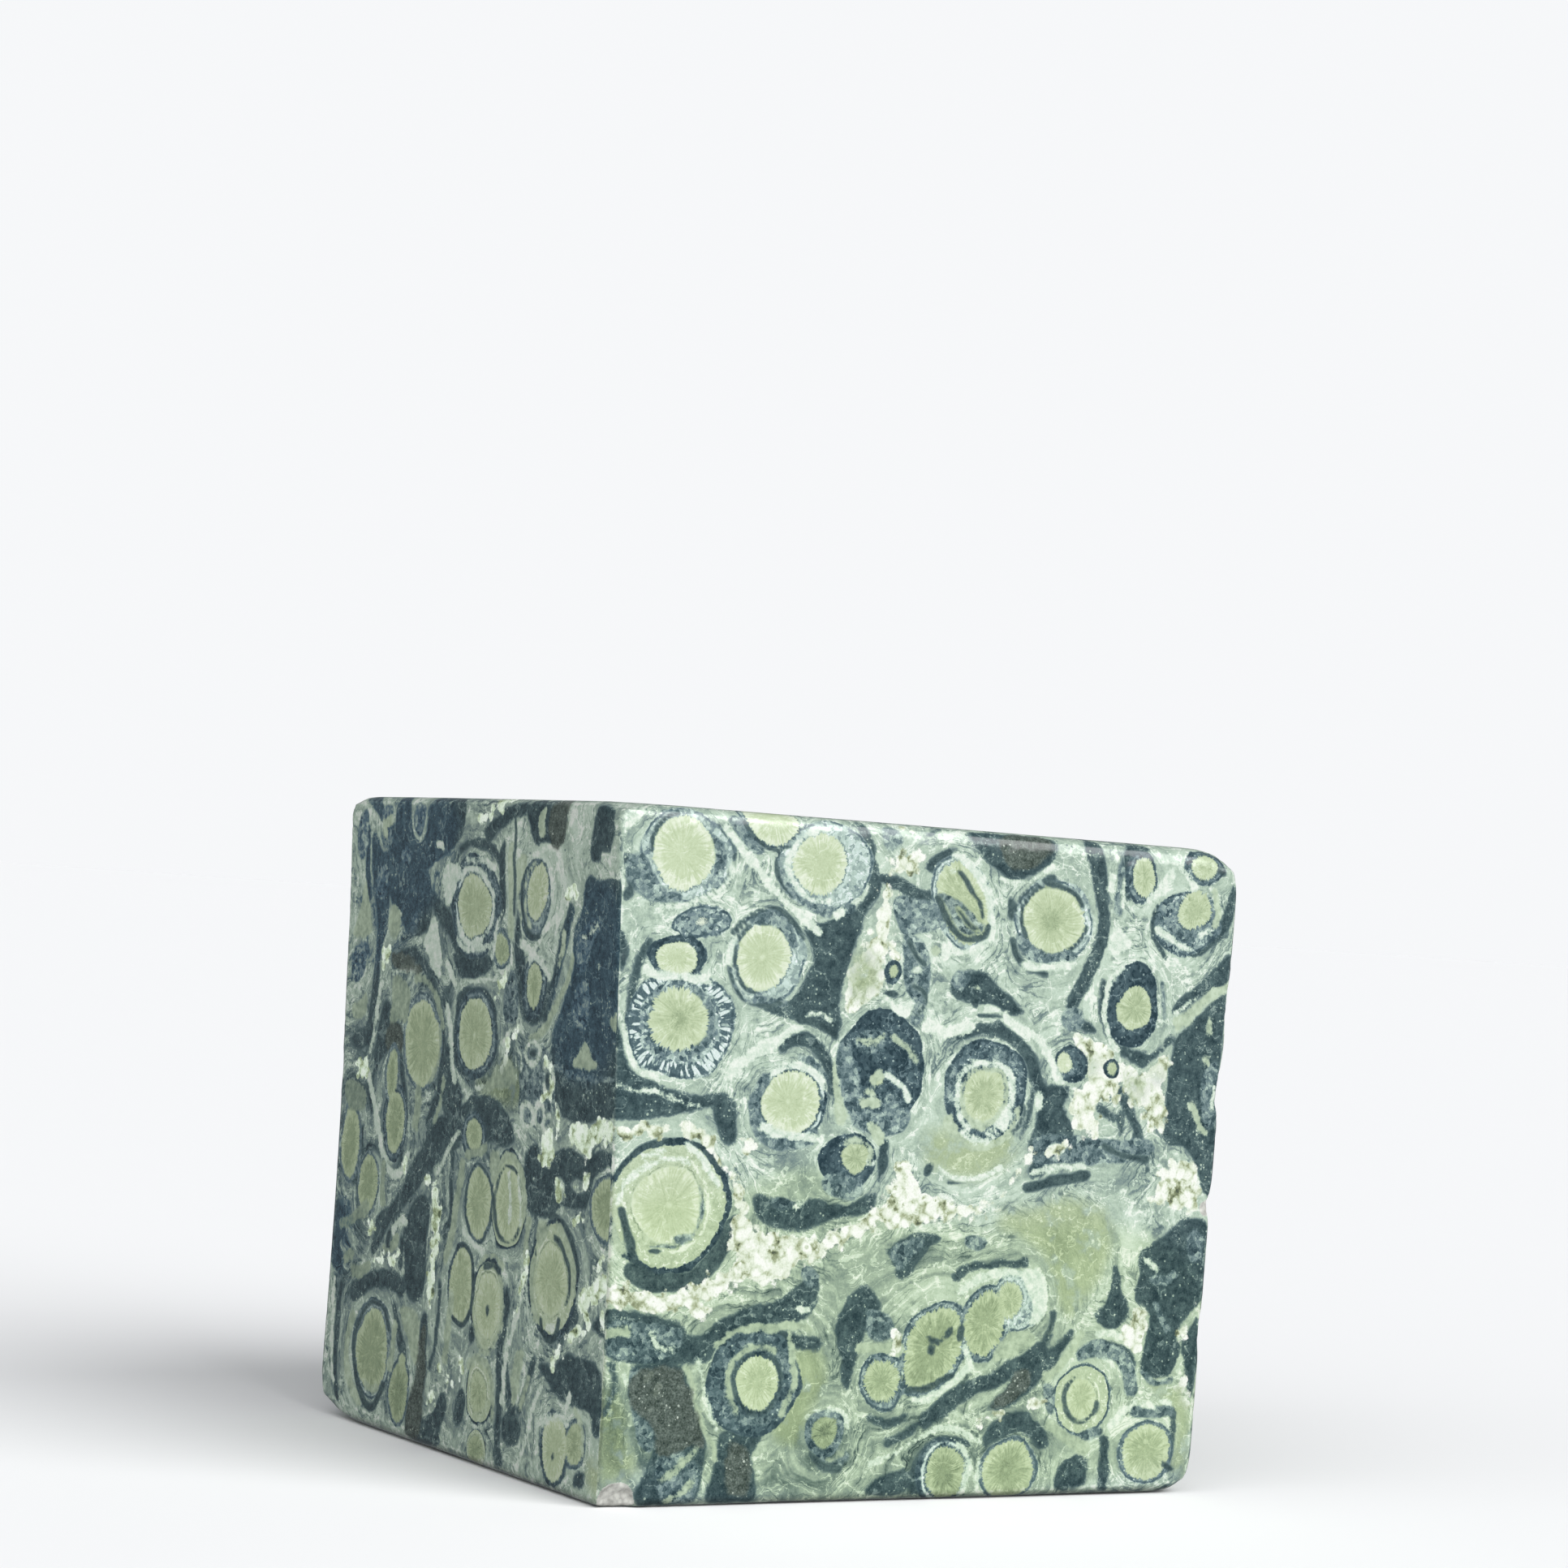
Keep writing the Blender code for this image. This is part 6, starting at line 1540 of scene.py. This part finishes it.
    # Painted shadow: the colour darkens by up to 0.55 in the lowest millimetre, standing in for the contact shadow and
    # the shaded bevel along the bottom edge.
    painted_foot_shadow = n.step(n.split(place)[2], 0.9, 0.2)
    colour = n.vector("SCALE", colour, scale=n.scaled(painted_foot_shadow, -0.55, 1.0))
    raw_mask = n.step(n.plus(raw, n.swing(noises["fine"], 0.15)), 0.35, 0.6)
    # The chip's grains vary in tone, and the gaps between them get painted shade.
    grain_and_gap_shade = n.plus(n.scaled(n.cells(place, 2.2).outputs["Distance"], -0.55, 1.0), n.swing(noises["grain"], 0.2))
    colour = n.mix(raw_mask, colour, n.vector("SCALE", stone(CHALK)[:3], scale=grain_and_gap_shade))

    n.feed(shader.inputs["Base Color"], colour)
    rough = n.plus(n.scaled(noises["fine"], 0.12, 0.14), n.times(cream, 0.08))
    n.feed(shader.inputs["Roughness"], n.blend(raw_mask, rough, 0.8))
    shader.inputs["IOR"].default_value = 1.54
    rough_parts = n.plus(n.times(cream, 1.2), n.times(raw_mask, 6.0), 0.35)
    relief = n.times(rough_parts, noises["fine"])
    bump = n.add("ShaderNodeBump", {"Strength": 0.25, "Distance": 0.03 * MM, "Height": relief})
    n.feed(shader.inputs["Normal"], bump.outputs["Normal"])
    return material


# Floor, lights and camera

BACKDROP = (0.925, 0.935, 0.95)  # how bright the plain background looks
ROOM_LIGHT = (0.16, 0.17, 0.185)
KEY = {"strength": 3.2, "spread": 55, "azimuth": 22, "elevation": 36}  # degrees, azimuth to the right of the bright face
FILL = {"strength": 1.62, "spread": 70, "azimuth": -58, "elevation": 40}


def floor_light():
    """How much light the open floor gets, beside its own colour."""
    lamps = sum(lamp["strength"] / math.pi * math.sin(math.radians(lamp["elevation"])) for lamp in (KEY, FILL))
    return [room + lamps for room in ROOM_LIGHT]


def plain_floor():
    """A floor so wide that it meets the background, and as bright."""
    mesh = bpy.data.meshes.new("floor")
    half = 40.0
    mesh.from_pydata([(-half, -half, 0), (half, -half, 0), (half, half, 0), (-half, half, 0)], [], [(0, 1, 2, 3)])
    floor = bpy.data.objects.new("floor", mesh)
    floor.visible_glossy = False
    bpy.context.scene.collection.objects.link(floor)
    material = bpy.data.materials.new("pale_floor")
    material.use_nodes = True
    shader = material.node_tree.nodes["Principled BSDF"]
    shade = [seen / light for seen, light in zip(BACKDROP, floor_light())]
    shader.inputs["Base Color"].default_value = tuple(shade) + (1.0,)
    shader.inputs["Roughness"].default_value = 1.0
    shader.inputs["Specular IOR Level"].default_value = 0.0
    mesh.materials.append(material)
    return floor


def soft_sun(name, lamp):
    light = bpy.data.lights.new(name, "SUN")
    light.energy = lamp["strength"]
    light.angle = math.radians(lamp["spread"])
    sun = bpy.data.objects.new(name, light)
    sun.rotation_euler = (math.radians(90 - lamp["elevation"]), 0, math.radians(lamp["azimuth"]))
    bpy.context.scene.collection.objects.link(sun)


def studio():
    """A dim room, a wide soft light in front of the bright face and a weaker one in front of the side face."""
    world = bpy.data.worlds.new("studio")
    world.use_nodes = True
    n = Nodes(world.node_tree)
    background = world.node_tree.nodes["Background"]
    seen = n.add("ShaderNodeLightPath").outputs["Is Camera Ray"]
    n.feed(background.inputs["Color"], n.mix(seen, ROOM_LIGHT + (1.0,), BACKDROP + (1.0,)))
    bpy.context.scene.world = world
    soft_sun("key_light", KEY)
    soft_sun("fill_light", FILL)


def camera():
    data = bpy.data.cameras.new("camera")
    data.sensor_width = 36.0
    data.lens = CAMERA_LENS
    data.clip_start = 0.01
    obj = bpy.data.objects.new("camera", data)
    azimuth, elevation, roll = (math.radians(a) for a in (CAMERA_AZIMUTH, CAMERA_ELEVATION, CAMERA_ROLL))
    back = Vector((
        math.sin(azimuth) * math.cos(elevation),
        -math.cos(azimuth) * math.cos(elevation),
        math.sin(elevation),
    ))
    right = Vector((0, 0, 1)).cross(back).normalized()
    up = back.cross(right)
    tilted_right = right * math.cos(roll) + up * math.sin(roll)
    tilted_up = up * math.cos(roll) - right * math.sin(roll)
    turn = Matrix((tilted_right, tilted_up, back)).transposed()
    obj.matrix_world = Matrix.Translation(CAMERA_TARGET + back * CAMERA_DISTANCE) @ turn.to_4x4()
    bpy.context.scene.collection.objects.link(obj)
    bpy.context.scene.camera = obj


camera()
studio()
plain_floor()
stone_piece()
bpy.context.scene.view_settings.view_transform = "Standard"
